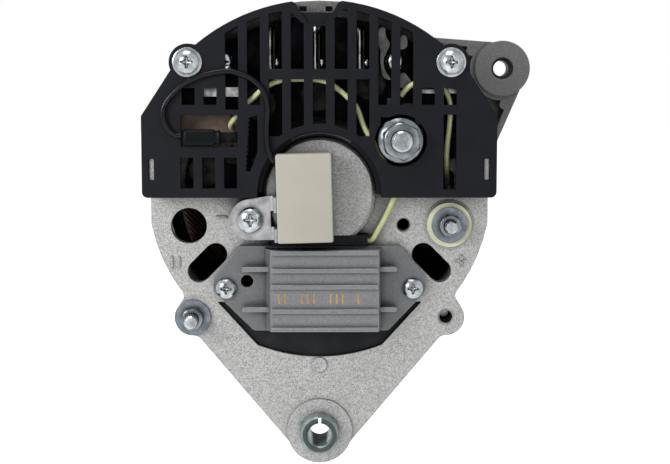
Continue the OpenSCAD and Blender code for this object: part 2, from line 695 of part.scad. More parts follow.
module regulator_screws() color([0.75, 0.77, 0.78]) placed() for (x = [-1, 1])
    pan_screw([x * regulator_x, -regulator_drop], 4, 2.8, 2, flange_top, -4.6);

module brush_guides(top, low) for (z = slip_places)
    slab(z - brush_t / 2 - brush_clear, z + brush_t / 2 + brush_clear)
        translate([-brush_w / 2 - brush_clear, low]) square([brush_w + 2 * brush_clear, top - low]);

module brush_holder() color([0.13, 0.13, 0.14]) placed() difference() {
    back = slip_z - brush_t / 2 - tower_wall;
    front = slip_places[1] + brush_t / 2 + brush_clear + 1;
    union() {
        slab(-end_wall, -2) holder_opening(gap);
        slab(-3, flange_z) translate([-holder_half + 0.4, -43])
            square([2 * holder_half - 0.8, 43 + flange_up + 1]);
        slab(-3, flange_z + 4) translate([-holder_half, flange_up + 0.3])
            square([2 * holder_half, holder_top - flange_up - 0.3]);
        slab(back, front) translate([-brush_w / 2 - 3, guide_low - 2])
            square([brush_w + 6, tower_top - guide_low + 2]);
        slab(back, -end_wall + 1) translate([-brush_w / 2 - 3, guide_low - 2])
            square([brush_w + 6, holder_top - guide_low + 2]);
        slab(-end_wall - 1.2, -end_wall + 1) translate([-holder_half + 0.8, -40])
            square([2 * holder_half - 1.6, 19]);
    }
    brush_guides(tower_top + 1, guide_low);
}

module brush(z) {
    arc_r = slip_d / 2 + 0.05;
    translate([0, 0, z - brush_t / 2]) linear_extrude(brush_t) difference() {
        translate([-brush_w / 2, brush_low]) square([brush_w, brush_len + 1.2]);
        circle(arc_r);
    }
}

module inner_brush() color([0.28, 0.25, 0.24]) placed() brush(slip_places[0]);

module outer_brush() color([0.28, 0.25, 0.24]) placed() brush(slip_places[1]);

module brush_spring(z) {
    rings = 60;
    coil_r = 1.7;
    low = guide_low + 0.4;
    rise = brush_low - 0.4 - low;
    wire([for (i = [0 : rings]) let (t = i / rings)
        [coil_r * cos(360 * spring_turns * t), low + rise * t, z + coil_r * sin(360 * spring_turns * t)]],
        0.32, 6);
}

module inner_brush_spring() color([0.8, 0.8, 0.78]) placed() brush_spring(slip_places[0]);

module outer_brush_spring() color([0.8, 0.8, 0.78]) placed() brush_spring(slip_places[1]);

module at_capacitor() translate(cap_mid) rotate(cap_tilt) children();

module capacitor_case() color([0.74, 0.71, 0.67]) placed() at_capacitor()
    slab(cap_case_z, cap_case_z + capacitor_d) polygon(outline([
        [-capacitor_w / 2, capacitor_h / 2, 0.8], [capacitor_w / 2, capacitor_h / 2, 0.8],
        [capacitor_w / 2, -capacitor_h / 2, 0.8], [-capacitor_w / 2, -capacitor_h / 2, 0.8]], 3));

// Strap under the capacitor's screw that bends up beside the case, with a relief hole in the bend
module capacitor_bracket() color([0.72, 0.72, 0.72]) placed() difference() {
    wall = -capacitor_w / 2 - 0.1;
    bend_x = wall - cap_strap_t - strap_bend;
    bend_z = cap_pad + cap_strap_t + strap_bend;
    union() {
        slab(cap_pad, cap_pad + cap_strap_t) hull() {
            translate(cap_screw_at) circle(7.9);
            at_capacitor() translate([bend_x - 0.5, strap_low]) square([0.5, strap_high - strap_low]);
        }
        at_capacitor() translate([0, strap_high, 0]) rotate([90, 0, 0]) linear_extrude(strap_high - strap_low)
            polygon(concat([[bend_x - 0.3, cap_pad + cap_strap_t], [bend_x - 0.3, cap_pad]],
                arc([bend_x, bend_z], strap_bend + cap_strap_t, -90, 0, 6),
                [[wall, cap_case_z + capacitor_d - 1], [wall - cap_strap_t, cap_case_z + capacitor_d - 1]],
                arc([bend_x, bend_z], strap_bend, 0, -90, 6)));
    }
    rod(cap_screw_at, 2.7, cap_pad - 1, cap_pad + 3);
    at_capacitor() slab(cap_pad - 1, cap_case_z + capacitor_d) translate([bend_x - 0.2, strap_low + 5])
        square([wall - bend_x + 0.4, 6.2]);
}

module capacitor_screw() color([0.78, 0.8, 0.82]) placed()
    pan_screw(cap_screw_at, 4.9, 3.2, 2.5, cap_pad + cap_strap_t, -3);

module capacitor_lead() color([0.27, 0.28, 0.3]) placed() wire(smooth(capacitor_route, 3), wire_d / 2);

module lead_connector() color([0.13, 0.16, 0.15]) placed() difference() {
    slab(sleeve_z, sleeve_z + sleeve_t)
        polygon(outline([[sleeve[0], sleeve[2], 1], [sleeve[1], sleeve[2], 0.6],
        [sleeve[1], sleeve[3], 0.6], [sleeve[0], sleeve[3], 1]], 3));
    slab(sleeve_z + 1.6, sleeve_z + 3) translate([sleeve[1] - 7, sleeve[2] + 0.8])
        square([8, sleeve[3] - sleeve[2] - 1.6]);
}

module spade_terminal() color([0.7, 0.7, 0.68]) placed() {
    blade_z = sleeve_z + 1.9;
    slab(blade_z, blade_z + 0.8) translate([sleeve[1] - 6.4, sleeve[2] + 1.1])
        square([window[1] - 0.6 - sleeve[1] + 6.4, sleeve[3] - sleeve[2] - 2.2]);
    slab(board_z, blade_z + 0.8) translate([window[1] - 1.4, sleeve[2] + 1.1])
        square([0.8, sleeve[3] - sleeve[2] - 2.2]);
}

module bored_plate(z, places, r) difference() {
    slab(z, z + sink_t) children();
    for (p = places) rod(p, r, z - 1, z + sink_t + 1);
}

module ear_strip(p) {
    a = atan2(p.y, p.x);
    sector(sink_in + 8, norm(p), a - 6, a + 6, 2);
    translate(p) circle(6);
}

module negative_heatsink() color([0.62, 0.62, 0.63]) placed() difference() {
    bored_plate(neg_z, neg_diodes, diode_r + fit) difference() {
        union() {
            sector(sink_in, pos_out + 2, 13, 177, 24);
            sector(sink_in, neg_out - 6, 14, 32, 6);
            sector(sink_in, neg_out, 31, 149, 24);
        }
        circle(sink_in);
        for (x = [-1, 1]) translate([x * bolt_half, bolt_half]) circle(boss_r + 1);
        for (x = lead_x) translate([x - 2, notch_r]) square([4, 11.2]);
    }
    for (p = sink_screws) rod(p, sink_screw_r + 0.3, neg_z - 1, neg_z + sink_t + 1);
    rod(stud_at, stud_r + 3, neg_z - 1, neg_z + sink_t + 1);
}

module positive_heatsink() color([0.5, 0.5, 0.52]) placed() difference() {
    bored_plate(pos_z, pos_diodes, diode_r + fit) difference() {
        union() {
            sector(sink_in, pos_out, 20, 139, 20);
            for (p = sink_screws) ear_strip(p);
        }
        circle(sink_in);
    }
    for (p = sink_screws) rod(p, sink_screw_r + 0.3, pos_z - 1, pos_z + sink_t + 1);
    rod(stud_at, stud_r + fit, pos_z - 1, pos_z + sink_t + 1);
}

module heatsink_spacers() color([0.2, 0.2, 0.2]) placed() for (p = sink_screws)
    ring_at(p, sink_screw_r + 0.3, 4.6, neg_z + sink_t, pos_z);

module heatsink_screws() color([0.6, 0.62, 0.63]) placed() for (p = sink_screws)
    pan_screw(p, 3.5, 2.2, sink_screw_r, pos_z + sink_t, -5.5);

module diode(at, z) {
    rod(at, diode_r, z - 0.9, z + sink_t);
    rod(at, 1, z + sink_t, z + sink_t + 1.6);
}

module power_diodes() color([0.55, 0.55, 0.56]) placed() {
    for (p = pos_diodes) diode(p, pos_z);
    for (p = neg_diodes) diode(p, neg_z);
}

// Small diodes that feed the regulator wire, lying on the positive plate
module exciter_diodes() color([0.15, 0.15, 0.15]) placed() for (p = exciter_at)
    slab(pos_z + sink_t, pos_z + sink_t + 1.1) translate(p) square([3.4, 3.4], center = true);

module terminal_board() color([0.38, 0.33, 0.3]) placed() {
    slab(board_z - 1.4, board_z) difference() {
        panel(board);
        translate(neg_diodes[1]) circle(1.1);
    }
    for (p = board_feet) rod(p, 1.6, 0, board_z - 1.2);
}

module phase_leads() color([0.8, 0.78, 0.74]) placed() for (x = lead_x) wire(smooth(lead_route(x), 3), 0.85);

module b_plus_stud() color([0.75, 0.77, 0.78]) placed() {
    rod(stud_at, 6, pos_z - 1.5, pos_z);
    rod(stud_at, stud_r, pos_z - 1, nut_z);
    stud_end(stud_at, stud_r, nut_z, nut_end, 23);
    cone(stud_at, stud_r, stud_r - 0.8, 23, 23.8);
    ring_at(stud_at, stud_r - 1, 8, pos_z + sink_t, nut_z);
}

module b_plus_nut() color([0.78, 0.8, 0.82]) placed() {
    bore = stud_r - thread_drop + fit;
    hex_nut(stud_at, 13, bore, nut_z + 1, nut_end, 0.9);
    translate([stud_at.x, stud_at.y, 0]) rotate_extrude()
        polygon([[bore, nut_z], [8.95, nut_z], [8.95, nut_z + 0.9], [6.6, nut_z + 2.2], [bore, nut_z + 2.2]]);
}

module d_plus_stud() color([0.75, 0.77, 0.78]) placed() {
    rod(d_plus_at, 5, -end_wall - 3.4, -end_wall - 0.4);
    rod(d_plus_at, d_plus_r, -end_wall - 1, insulator_top + m5_washer_t);
    stud_end(d_plus_at, d_plus_r, insulator_top + m5_washer_t, insulator_top + m5_washer_t + m5_nut_t, 11.4);
    cone(d_plus_at, d_plus_r, d_plus_r - 0.6, 11.4, 12);
}

module d_plus_insulator() color([0.78, 0.77, 0.55]) placed() {
    ring_at(d_plus_at, d_plus_r + fit, 4.4, -end_wall - 0.4, 0.4);
    ring_at(d_plus_at, d_plus_r + fit, 8.7, 0.4, insulator_top);
}

// Washers and nuts on the D+ stud and on the through bolt that runs on as a stud
module m5_washers() color([0.78, 0.8, 0.82]) placed() for (s = m5_seats)
    ring_at(s[0], d_plus_r + fit, 7, s[1], s[1] + m5_washer_t);

module m5_nuts() color([0.75, 0.77, 0.78]) placed() for (s = m5_seats)
    hex_nut(s[0], 8, d_plus_r - thread_drop + fit, s[1] + m5_washer_t, s[1] + m5_washer_t + m5_nut_t);

module regulator_wire() color([0.78, 0.8, 0.47]) placed() wire(smooth(regulator_route, 3), wire_d / 2);

module d_plus_wire() color([0.78, 0.8, 0.47]) placed() wire(smooth(d_plus_route, 3), wire_d / 2);

// Split bush: the clamping bolt pulls it up in the rear lug to take up the play
module pivot_bush() color([0.72, 0.75, 0.74]) placed() translate([0, -pivot_drop, 0]) difference() {
    r0 = pivot_bore_d / 2;
    rotate_extrude() polygon([[r0, bush_rear - bush_len + 0.6], [r0 + 0.6, bush_rear - bush_len],
        [bush_r - 0.6, bush_rear - bush_len], [bush_r, bush_rear - bush_len + 0.6],
        [bush_r, bush_rear - 0.9], [bush_r - 0.9, bush_rear], [r0 + 0.9, bush_rear], [r0, bush_rear - 0.9]]);
    slab(bush_rear - bush_len - 1, bush_rear + 1) translate([-0.55, 0]) square([1.1, bush_r + 1]);
}

module bearing_retainer() color([0.6, 0.6, 0.6]) placed()
    slab(front_race_rear, front_race_rear + retainer_t) difference() {
        circle(front_hub_r - 0.5);
        circle(front_race_d / 2 - 5);
        for (a = [0 : 120 : 240]) translate(polar(screw_ring_r, a + 90)) circle(2.2);
    }

module retainer_screws() color([0.75, 0.77, 0.78]) placed() for (a = [0 : 120 : 240])
    pan_screw(polar(screw_ring_r, a + 90), 3.4, 1.6, 2, front_race_rear + retainer_t, front_race_rear - 8);

// Ball bearing pieces, from the race diameters and the ball size
module race(r0, r1, z0, width, pitch, ball) difference() {
    ring(r0, r1, z0, z0 + width);
    rotate_extrude() translate([pitch, z0 + width / 2]) circle(ball + 0.04);
}

module ball_set(z0, width, pitch, ball) for (i = [0 : balls - 1]) rotate(360 * i / balls)
    translate([pitch, 0, z0 + width / 2]) sphere(ball);

module ball_cage(z0, width, pitch, ball) difference() {
    ring(pitch - 1.2, pitch + 1.2, z0 + width / 2 - ball - 0.8, z0 + width / 2 + ball + 0.8);
    for (i = [0 : balls - 1]) rotate(360 * i / balls) translate([pitch - 3, 0, z0 + width / 2])
        rotate([0, 90, 0]) cylinder(h = 6, r = ball + 0.06);
}

module front_outer_ring() color([0.7, 0.71, 0.72]) placed()
    race(front_pitch_r + 2.6, front_race_d / 2, front_race_front, front_race_w, front_pitch_r, front_ball_r);

module front_inner_ring() color([0.7, 0.71, 0.72]) placed()
    race(shaft_r + fit, front_pitch_r - 2.6, front_race_front, front_race_w, front_pitch_r, front_ball_r);

module front_balls() color([0.8, 0.8, 0.8]) placed()
    ball_set(front_race_front, front_race_w, front_pitch_r, front_ball_r);

module front_ball_cage() color([0.6, 0.55, 0.4]) placed()
    ball_cage(front_race_front, front_race_w, front_pitch_r, front_ball_r);

module front_seals() color([0.25, 0.25, 0.27]) placed()
    for (z = [front_race_front + 0.3, front_race_rear - 1.2])
    ring(front_pitch_r - 2.3, front_pitch_r + 2.55, z, z + 0.9);

module rear_outer_ring() color([0.7, 0.71, 0.72]) placed()
    race(rear_pitch_r + 1.9, rear_race_d / 2, rear_race_z, rear_race_w, rear_pitch_r, rear_ball_r);

module rear_inner_ring() color([0.7, 0.71, 0.72]) placed()
    race(journal_r + fit, rear_pitch_r - 1.9, rear_race_z, rear_race_w, rear_pitch_r, rear_ball_r);

module rear_balls() color([0.8, 0.8, 0.8]) placed()
    ball_set(rear_race_z, rear_race_w, rear_pitch_r, rear_ball_r);

module rear_ball_cage() color([0.6, 0.55, 0.4]) placed()
    ball_cage(rear_race_z, rear_race_w, rear_pitch_r, rear_ball_r);

module key_shape(clear) intersection() {
    translate([-key_w / 2 - clear, shaft_r - 0.5, pulley_mid]) rotate([0, 90, 0])
        cylinder(h = key_w + 2 * clear, r = key_r + clear);
    translate([-key_w, 0, pulley_mid - 2 * key_r]) cube([2 * key_w, key_up + clear, 4 * key_r]);
}

module rotor_shaft() color([0.6, 0.6, 0.62]) placed() difference() {
    rotate_extrude() polygon([[0, shaft_end], [thread_r - 1, shaft_end], [thread_r, shaft_end + 1],
        [thread_r, pulley_front], [shaft_r, pulley_front + 0.5], [shaft_r, front_race_rear],
        [pole_seat_r + 1, front_race_rear], [pole_seat_r + 1, rotor_front], [pole_seat_r, rotor_front],
        [pole_seat_r, rotor_rear], [slip_seat_r, rotor_rear], [slip_seat_r, rear_race_z - 1.6],
        [journal_r + 1.4, rear_race_z], [journal_r, rear_race_z], [journal_r, rear_race_end - 0.8],
        [journal_r - 0.8, rear_race_end], [0, rear_race_end]]);
    key_shape(fit);
}

module pulley_key() color([0.55, 0.55, 0.55]) placed() key_shape(0);

// Claw pole: a bored core and disc whose arms bend over into tapered claws
module claw_pole() difference() {
    reach = rotor_len - claw_end;
    taper_from = pole_t - 3;
    union() {
        translate([0, 0, -rotor_len / 2]) cylinder(h = rotor_len / 2, r = core_r);
        intersection() {
            rotate_extrude() polygon([[0, -pole_t], [claw_root_r, -pole_t],
                [claw_tip_r, -reach], [rotor_r - 0.8, -reach], [rotor_r, -reach + 1.2],
                [rotor_r, -2.4], [rotor_r - 2.4, 0], [0, 0]]);
            for (i = [0 : claws - 1]) rotate(360 * i / claws) rotate([0, 90, 0])
                linear_extrude(rotor_r + 1) polygon([[-1, -claw_root_w / 2], [taper_from, -claw_root_w / 2],
                    [reach + 1, -claw_tip_w / 2], [reach + 1, claw_tip_w / 2], [taper_from, claw_root_w / 2],
                    [-1, claw_root_w / 2]]);
        }
    }
    translate([0, 0, -rotor_len]) cylinder(h = rotor_len + 1, r = pole_seat_r + fit);
}

module rear_pole() color([0.45, 0.45, 0.47]) placed() translate([0, 0, rotor_rear]) claw_pole();

module front_pole() color([0.45, 0.45, 0.47]) placed() translate([0, 0, rotor_front])
    rotate(180 / claws) mirror([0, 0, 1]) claw_pole();

// Field winding on its flanged bobbin, between the two pole discs
module field_winding() color([0.68, 0.36, 0.18]) placed() {
    z0 = rotor_front + pole_t + gap;
    z1 = rotor_rear - pole_t - gap;
    rotate_extrude() polygon([[core_r + gap, z0], [claw_root_r - 1.2, z0], [claw_root_r - 1.2, z0 + 1],
        [claw_root_r - 0.6, z0 + 2], [claw_root_r - 0.6, z1 - 2], [claw_root_r - 1.2, z1 - 1],
        [claw_root_r - 1.2, z1], [core_r + gap, z1]]);
}

module slip_rings() color([0.75, 0.5, 0.3]) placed() {
    for (z = slip_places) ring(insulator_r, slip_d / 2, z - slip_w / 2, z + slip_w / 2);
    ring(slip_seat_r + fit, insulator_r, slip_z - slip_w / 2 - 1.2, slip_places[1] + slip_w / 2 + 1);
}

// Cooling fan: a pressed disc with curved blades bent towards the front bracket
module fan() color([0.62, 0.63, 0.64]) placed() difference() {
    union() {
        ring(shaft_r + fit, fan_r - 1, fan_face - fan_t, fan_face);
        for (i = [0 : blades - 1]) rotate(360 * i / blades) slab(fan_face - 0.5, fan_face + blade_h)
            translate([fan_r * 0.39, fan_r * 0.315]) fan_blade();
    }
    for (i = [0 : blades - 1]) rotate(360 * i / blades + 7) slab(fan_face - fan_t - 1, fan_face + blade_h + 1)
        sector(29, 42, 4, 17, 3);
}

module fan_blade()
    polygon(concat(arc([0, 0], fan_r / 2, -42, 12, 7), arc([0, 0], fan_r / 2 + 1.5, 12, -42, 7)));

module fan_spacer() color([0.65, 0.65, 0.66]) placed()
    ring(shaft_r + fit, spacer_r, fan_face, front_race_front);

// Pressed half of the pulley, seen from the middle of the belt groove, with its keyway
module pulley_half() {
    rim_z = groove_w / 2;
    difference() {
        rotate_extrude() polygon([[shaft_r + fit, shim_half], [groove_r, shim_half], [pulley_r, rim_z],
            [pulley_r, rim_z + pulley_t], [groove_r, shim_half + pulley_t],
            [pulley_boss_r, shim_half + pulley_t], [pulley_boss_r, pulley_len / 2],
            [shaft_r + fit, pulley_len / 2]]);
        keyway();
    }
}

module keyway() slab(-pulley_len, pulley_len)
    translate([-key_w / 2 - fit, 0]) square([key_w + 2 * fit, key_up + 0.1]);

module pulley_rear_half() color([0.68, 0.68, 0.66]) placed() translate([0, 0, pulley_mid]) pulley_half();

module pulley_front_half() color([0.68, 0.68, 0.66]) placed() translate([0, 0, pulley_mid])
    mirror([0, 0, 1]) pulley_half();

module pulley_shims() color([0.6, 0.6, 0.6]) placed() translate([0, 0, pulley_mid]) difference() {
    ring(shaft_r + fit, shim_r, -shim_half, shim_half);
    keyway();
}

module pulley_nut() color([0.72, 0.73, 0.74]) placed() {
    hex_nut([0, 0], 24, thread_r + fit, pulley_front - washer_t - nut_t, pulley_front - washer_t, 1.2);
    ring(thread_r + fit, 13.4, pulley_front - washer_t, pulley_front);
}

rear_bracket();
front_bracket();
stator_core();
stator_winding();
through_bolts();
rear_cover();
cover_screws();
regulator_body();
regulator_screws();
brush_holder();
inner_brush();
outer_brush();
inner_brush_spring();
outer_brush_spring();
capacitor_case();
capacitor_bracket();
capacitor_screw();
capacitor_lead();
lead_connector();
spade_terminal();
positive_heatsink();
negative_heatsink();
heatsink_spacers();
heatsink_screws();
power_diodes();
exciter_diodes();
terminal_board();
phase_leads();
b_plus_stud();
b_plus_nut();
d_plus_stud();
d_plus_insulator();
m5_washers();
m5_nuts();
regulator_wire();
d_plus_wire();
pivot_bush();
bearing_retainer();
retainer_screws();
front_outer_ring();
front_inner_ring();
front_balls();
front_ball_cage();
front_seals();
rear_outer_ring();
rear_inner_ring();
rear_balls();
rear_ball_cage();
rotor_shaft();
front_pole();
rear_pole();
field_winding();
slip_rings();
fan();
fan_spacer();
pulley_rear_half();
pulley_shims();
pulley_front_half();
pulley_nut();
pulley_key();
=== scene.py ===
"""Looks of an engine alternator, seen from its rear end.

Every size here is in millimetres in the maker's bench frame: x to the right, y up and z towards
the rear, with the origin where the shaft axis meets the rear bracket's face. Bench.row turns them
into metres in the row frame.
"""
from __future__ import annotations

import json
import logging
import math
from dataclasses import dataclass, replace
from enum import Enum
from functools import reduce
from typing import Sequence

import bpy
import numpy as np
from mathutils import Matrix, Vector
from mathutils.bvhtree import BVHTree

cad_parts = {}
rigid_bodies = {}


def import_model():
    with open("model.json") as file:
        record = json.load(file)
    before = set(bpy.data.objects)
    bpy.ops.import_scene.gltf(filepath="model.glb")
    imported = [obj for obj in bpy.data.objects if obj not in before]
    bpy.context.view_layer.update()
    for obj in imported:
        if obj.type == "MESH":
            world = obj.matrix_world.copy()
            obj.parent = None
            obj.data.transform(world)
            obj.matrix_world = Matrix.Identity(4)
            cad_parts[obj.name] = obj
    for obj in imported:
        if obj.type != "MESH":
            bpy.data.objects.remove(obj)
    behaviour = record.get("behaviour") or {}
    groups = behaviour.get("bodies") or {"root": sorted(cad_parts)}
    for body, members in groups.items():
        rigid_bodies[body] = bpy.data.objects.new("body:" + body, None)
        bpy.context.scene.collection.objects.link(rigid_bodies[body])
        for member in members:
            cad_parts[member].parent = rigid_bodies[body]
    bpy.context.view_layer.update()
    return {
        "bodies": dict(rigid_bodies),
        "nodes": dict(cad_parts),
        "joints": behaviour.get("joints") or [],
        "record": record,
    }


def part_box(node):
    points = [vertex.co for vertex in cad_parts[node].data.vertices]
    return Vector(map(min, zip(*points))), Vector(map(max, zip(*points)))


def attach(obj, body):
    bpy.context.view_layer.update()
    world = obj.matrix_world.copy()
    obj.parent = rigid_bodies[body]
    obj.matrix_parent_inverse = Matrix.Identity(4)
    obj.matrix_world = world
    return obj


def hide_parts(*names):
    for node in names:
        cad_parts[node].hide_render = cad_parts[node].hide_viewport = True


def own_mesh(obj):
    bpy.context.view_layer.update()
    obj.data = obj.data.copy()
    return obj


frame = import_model()

LOG = logging.getLogger("alternator")
Array = np.ndarray
Pair = tuple[float, float]
Triple = tuple[float, float, float]
Material = bpy.types.Material
Socket = bpy.types.NodeSocket
MM = 0.001
TURN = 2.0 * math.pi
HOUSING = "housing"
SHARP_ANGLE = math.radians(38)
CORNER_STEPS = 6
CURVE_STEPS = 6
# Points in a ring of screw heads and nuts, of cast marks and of small drops
FINE_RING = 96
MARK_RING = 48
DROP_RING = 24
# A bench height that lies behind every piece
BEHIND_ALL = 60.0
# Materials already made, by the name of their finish
MADE: dict[str, Material] = {}


class Axis(Enum):
    """A bench direction, with its place in the bench frame and in the row frame."""

    UP = (1, 2)
    REARWARD = (2, 1)


@dataclass(frozen=True)
class Bench:
    """The bench frame's place in the row frame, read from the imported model."""

    shaft_up: float
    rear_face: float

    @classmethod
    def from_frame(cls, packed: dict) -> "Bench":
        """Finds the shaft axis from its joint and the rear face from the washer that lies on it.


        Returns:
            The bench frame.
        """
        spin = next(j for j in packed["joints"] if j["name"] == "rotor_spin")
        return cls(spin["pos_m"][2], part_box("m5_washers")[1].y)

    def row(self, points: Array) -> Array:
        """Bench millimetres as row metres: X = x, Y = rear face - z, Z = y + shaft height."""
        p = np.asarray(points, float) * MM
        return np.stack([p[..., 0], self.rear_face - p[..., 2], p[..., 1] + self.shaft_up], axis=-1)


BENCH = Bench.from_frame(frame)


@dataclass(frozen=True)
class Skin:
    """A surface in bench millimetres: points, four-sided faces and the flat faces that close its ends."""

    points: Array
    quads: Array
    caps: tuple[Array, ...] = ()

    def __add__(self, other: "Skin") -> "Skin":
        """Both surfaces as one, with the second one's faces counted on."""
        shift = len(self.points)
        return Skin(np.vstack([self.points, other.points]), np.vstack([self.quads, other.quads + shift]),
                    (*self.caps, *(cap + shift for cap in other.caps)))

    def moved(self, at: Sequence[float]) -> "Skin":
        """The same surface shifted by a vector."""
        return replace(self, points=self.points + np.asarray(at, float))

    def turned(self, degrees: float) -> "Skin":
        """The same surface turned about z: x' = x cos t - y sin t and y' = x sin t + y cos t.

        Args:
            degrees: The angle t.

        Returns:
            The turned surface.
        """
        c, s = math.cos(math.radians(degrees)), math.sin(math.radians(degrees))
        x, y, z = self.points.T
        return replace(self, points=np.stack([c * x - s * y, s * x + c * y, z], axis=-1))

    def faces(self) -> list[list[int]]:
        """Every face as a list of point numbers."""
        return self.quads.tolist() + [cap.tolist() for cap in self.caps]


def joined(skins: Sequence[Skin]) -> Skin:
    """Several surfaces as one."""
    return reduce(Skin.__add__, skins)


def band(rings: Array, closed: bool = False) -> Skin:
    """Joins rings of points into a tube: point k of ring i meets point k of ring i + 1.

    Args:
        rings: Points as (rings, points in a ring, 3).
        closed: Whether the last ring joins the first, as on a torus. If not, both end rings are filled.

    Returns:
        The surface.
    """
    rows, cols = rings.shape[:2]
    i = np.arange(rows if closed else rows - 1)[:, None]
    k = np.arange(cols)[None, :]
    after_i, after_k = (i + 1) % rows, (k + 1) % cols
    corners = np.broadcast_arrays(i * cols + k, i * cols + after_k, after_i * cols + after_k,
                                  after_i * cols + k)
    ring = np.arange(cols)
    caps = () if closed else (ring[::-1], ring + (rows - 1) * cols)
    return Skin(rings.reshape(-1, 3), np.stack(corners, axis=-1).reshape(-1, 4), caps)


def angles(count: int) -> Array:
    """Evenly spaced angles of one turn, without the last."""
    return np.arange(count) * TURN / count


def rings_about(at: Sequence[float], r: Array, a: Array, z: Array) -> Array:
    """Rings of points about a line parallel to z: a point is (x + r cos a, y + r sin a, z)."""
    return np.stack(np.broadcast_arrays(at[0] + r * np.cos(a), at[1] + r * np.sin(a), z), axis=-1)


def profile_rings(profile: Sequence[Sequence[float]], around: int, at: Sequence[float]) -> Array:
    """The rings that a profile of (radius, z) makes when it turns about a line parallel to z."""
    r, z = np.asarray(profile, float).T[..., None]
    return rings_about(at, r, angles(around), z)


def lathe(profile: Sequence[Sequence[float]], around: int = 64, at: Sequence[float] = (0, 0),
          closed: bool = False) -> Skin:
    """Turns a profile of (radius, z) about a line parallel to z through at, with around points in a ring."""
    return band(profile_rings(profile, around, at), closed)


def catmull(points: Sequence[Sequence[float]], steps: int = CURVE_STEPS) -> Array:
    """A smooth curve through chosen points, each stretch a cubic of its four nearest points.

    With the points a, b, c, d and t from 0 to 1, a stretch is half of
    2 b + (c - a) t + (2 a - 5 b + 4 c - d) t^2 + (3 b - a - 3 c + d) t^3.

    Args:
        points: The chosen points.
        steps: Points in each stretch.

    Returns:
        Points of the curve.
    """
    p = np.asarray(points, float)
    padded = np.vstack([p[:1], p, p[-1:]])
    a, b, c, d = (padded[k:len(p) - 1 + k, None, :] for k in range(4))
    t = (np.arange(steps) / steps)[None, :, None]
    curve = 0.5 * (2 * b + (c - a) * t + (2 * a - 5 * b + 4 * c - d) * t ** 2
                   + (3 * b - a - 3 * c + d) * t ** 3)
    return np.vstack([curve.reshape(-1, p.shape[1]), p[-1:]])


def plate(outline: Sequence[Pair], low: float, high: float) -> Skin:
    """A thin sheet: a smooth outline through chosen corners, as one ring at each of its two faces.

    The outline runs anticlockwise where its area, half the sum of x y' - y x', is above zero.

    Args:
        outline: The corners.
        low: Lower face.
        high: Upper face.

    Returns:
        The surface.
    """
    loop = catmull([*outline, outline[0]], 4)[:-1]
    x, y = loop.T
    if np.sum(x * np.roll(y, -1) - y * np.roll(x, -1)) < 0:
        loop = loop[::-1]
    return band(np.stack([np.column_stack([loop, np.full(len(loop), z)]) for z in (low, high)]))


def seat_heights(node: str, places: Array) -> Array:
    """Bench heights of a node's first surface under some places, seen from the rear along the shaft.

    Args:
        node: Name of the CAD node.
        places: Places as (count, 2).

    Returns:
        One height for each place.
    """
    mesh = frame["nodes"][node].data
    tree = BVHTree.FromPolygons([v.co for v in mesh.vertices], [tuple(p.vertices) for p in mesh.polygons])
    starts = BENCH.row(np.column_stack([places, np.full(len(places), BEHIND_ALL)]))
    hits = [tree.ray_cast(Vector(start), Vector((0.0, 1.0, 0.0)))[0].y for start in starts]
    return (BENCH.rear_face - np.array(hits)) / MM


def unit(v: Array) -> Array:
    """Vectors scaled to length one."""
    return v / np.linalg.norm(v, axis=-1, keepdims=True)


def tube(path: Array, radius: float | Array, around: int = 16) -> Skin:
    """A round skin about a path: each ring is path + r (n cos a + b sin a), square to the path.

    Args:
        path: Points of the centreline.
        radius: One radius, or one for each point.
        around: Points in a ring.

    Returns:
        The surface, with rounded ends.
    """
    heading = unit(np.gradient(path, axis=0))
    reference = np.array([0.12, 0.25, 1.0])
    n = unit(reference - heading * (heading @ reference)[:, None])
    b = np.cross(heading, n)
    a = angles(around)[None, :, None]
    r = np.broadcast_to(np.asarray(radius, float), (len(path),))
    ring = n[:, None] * np.cos(a) + b[:, None] * np.sin(a)
    rings = path[:, None] + r[:, None, None] * ring
    domes = np.array([0.25, 0.65, 0.9])
    first = path[0] - heading[0] * r[0] * 0.5 * (1 - domes)[:, None]
    last = path[-1] + heading[-1] * r[-1] * 0.5 * (1 - domes)[:, None]
    front = first[:, None] + (domes * r[0])[:, None, None] * ring[:1]
    back = last[::-1, None] + (domes[::-1] * r[-1])[:, None, None] * ring[-1:]
    return band(np.concatenate([front, rings, back]))


def rounded_rectangle(half_w: Array, half_h: Array, r: float) -> Array:
    """Rings of rectangles about the origin, whose corners are quarter circles.

    A point is (s (w - r) + r cos a, s' (h - r) + r sin a), with the signs s and s' of its quarter.

    Args:
        half_w: Half the width of each ring.
        half_h: Half the height of each ring.
        r: Radius of the corners.

    Returns:
        Points as (rings, points in a ring, 3), at height zero.
    """
    quarter = np.repeat(np.arange(4), CORNER_STEPS) * TURN / 4
    a = quarter + np.tile(np.linspace(0, TURN / 4, CORNER_STEPS), 4)
    x = np.sign(np.cos(quarter + TURN / 8)) * (half_w[:, None] - r) + r * np.cos(a)
    y = np.sign(np.sin(quarter + TURN / 8)) * (half_h[:, None] - r) + r * np.sin(a)
    return np.stack([x, y, np.zeros_like(x)], axis=-1)


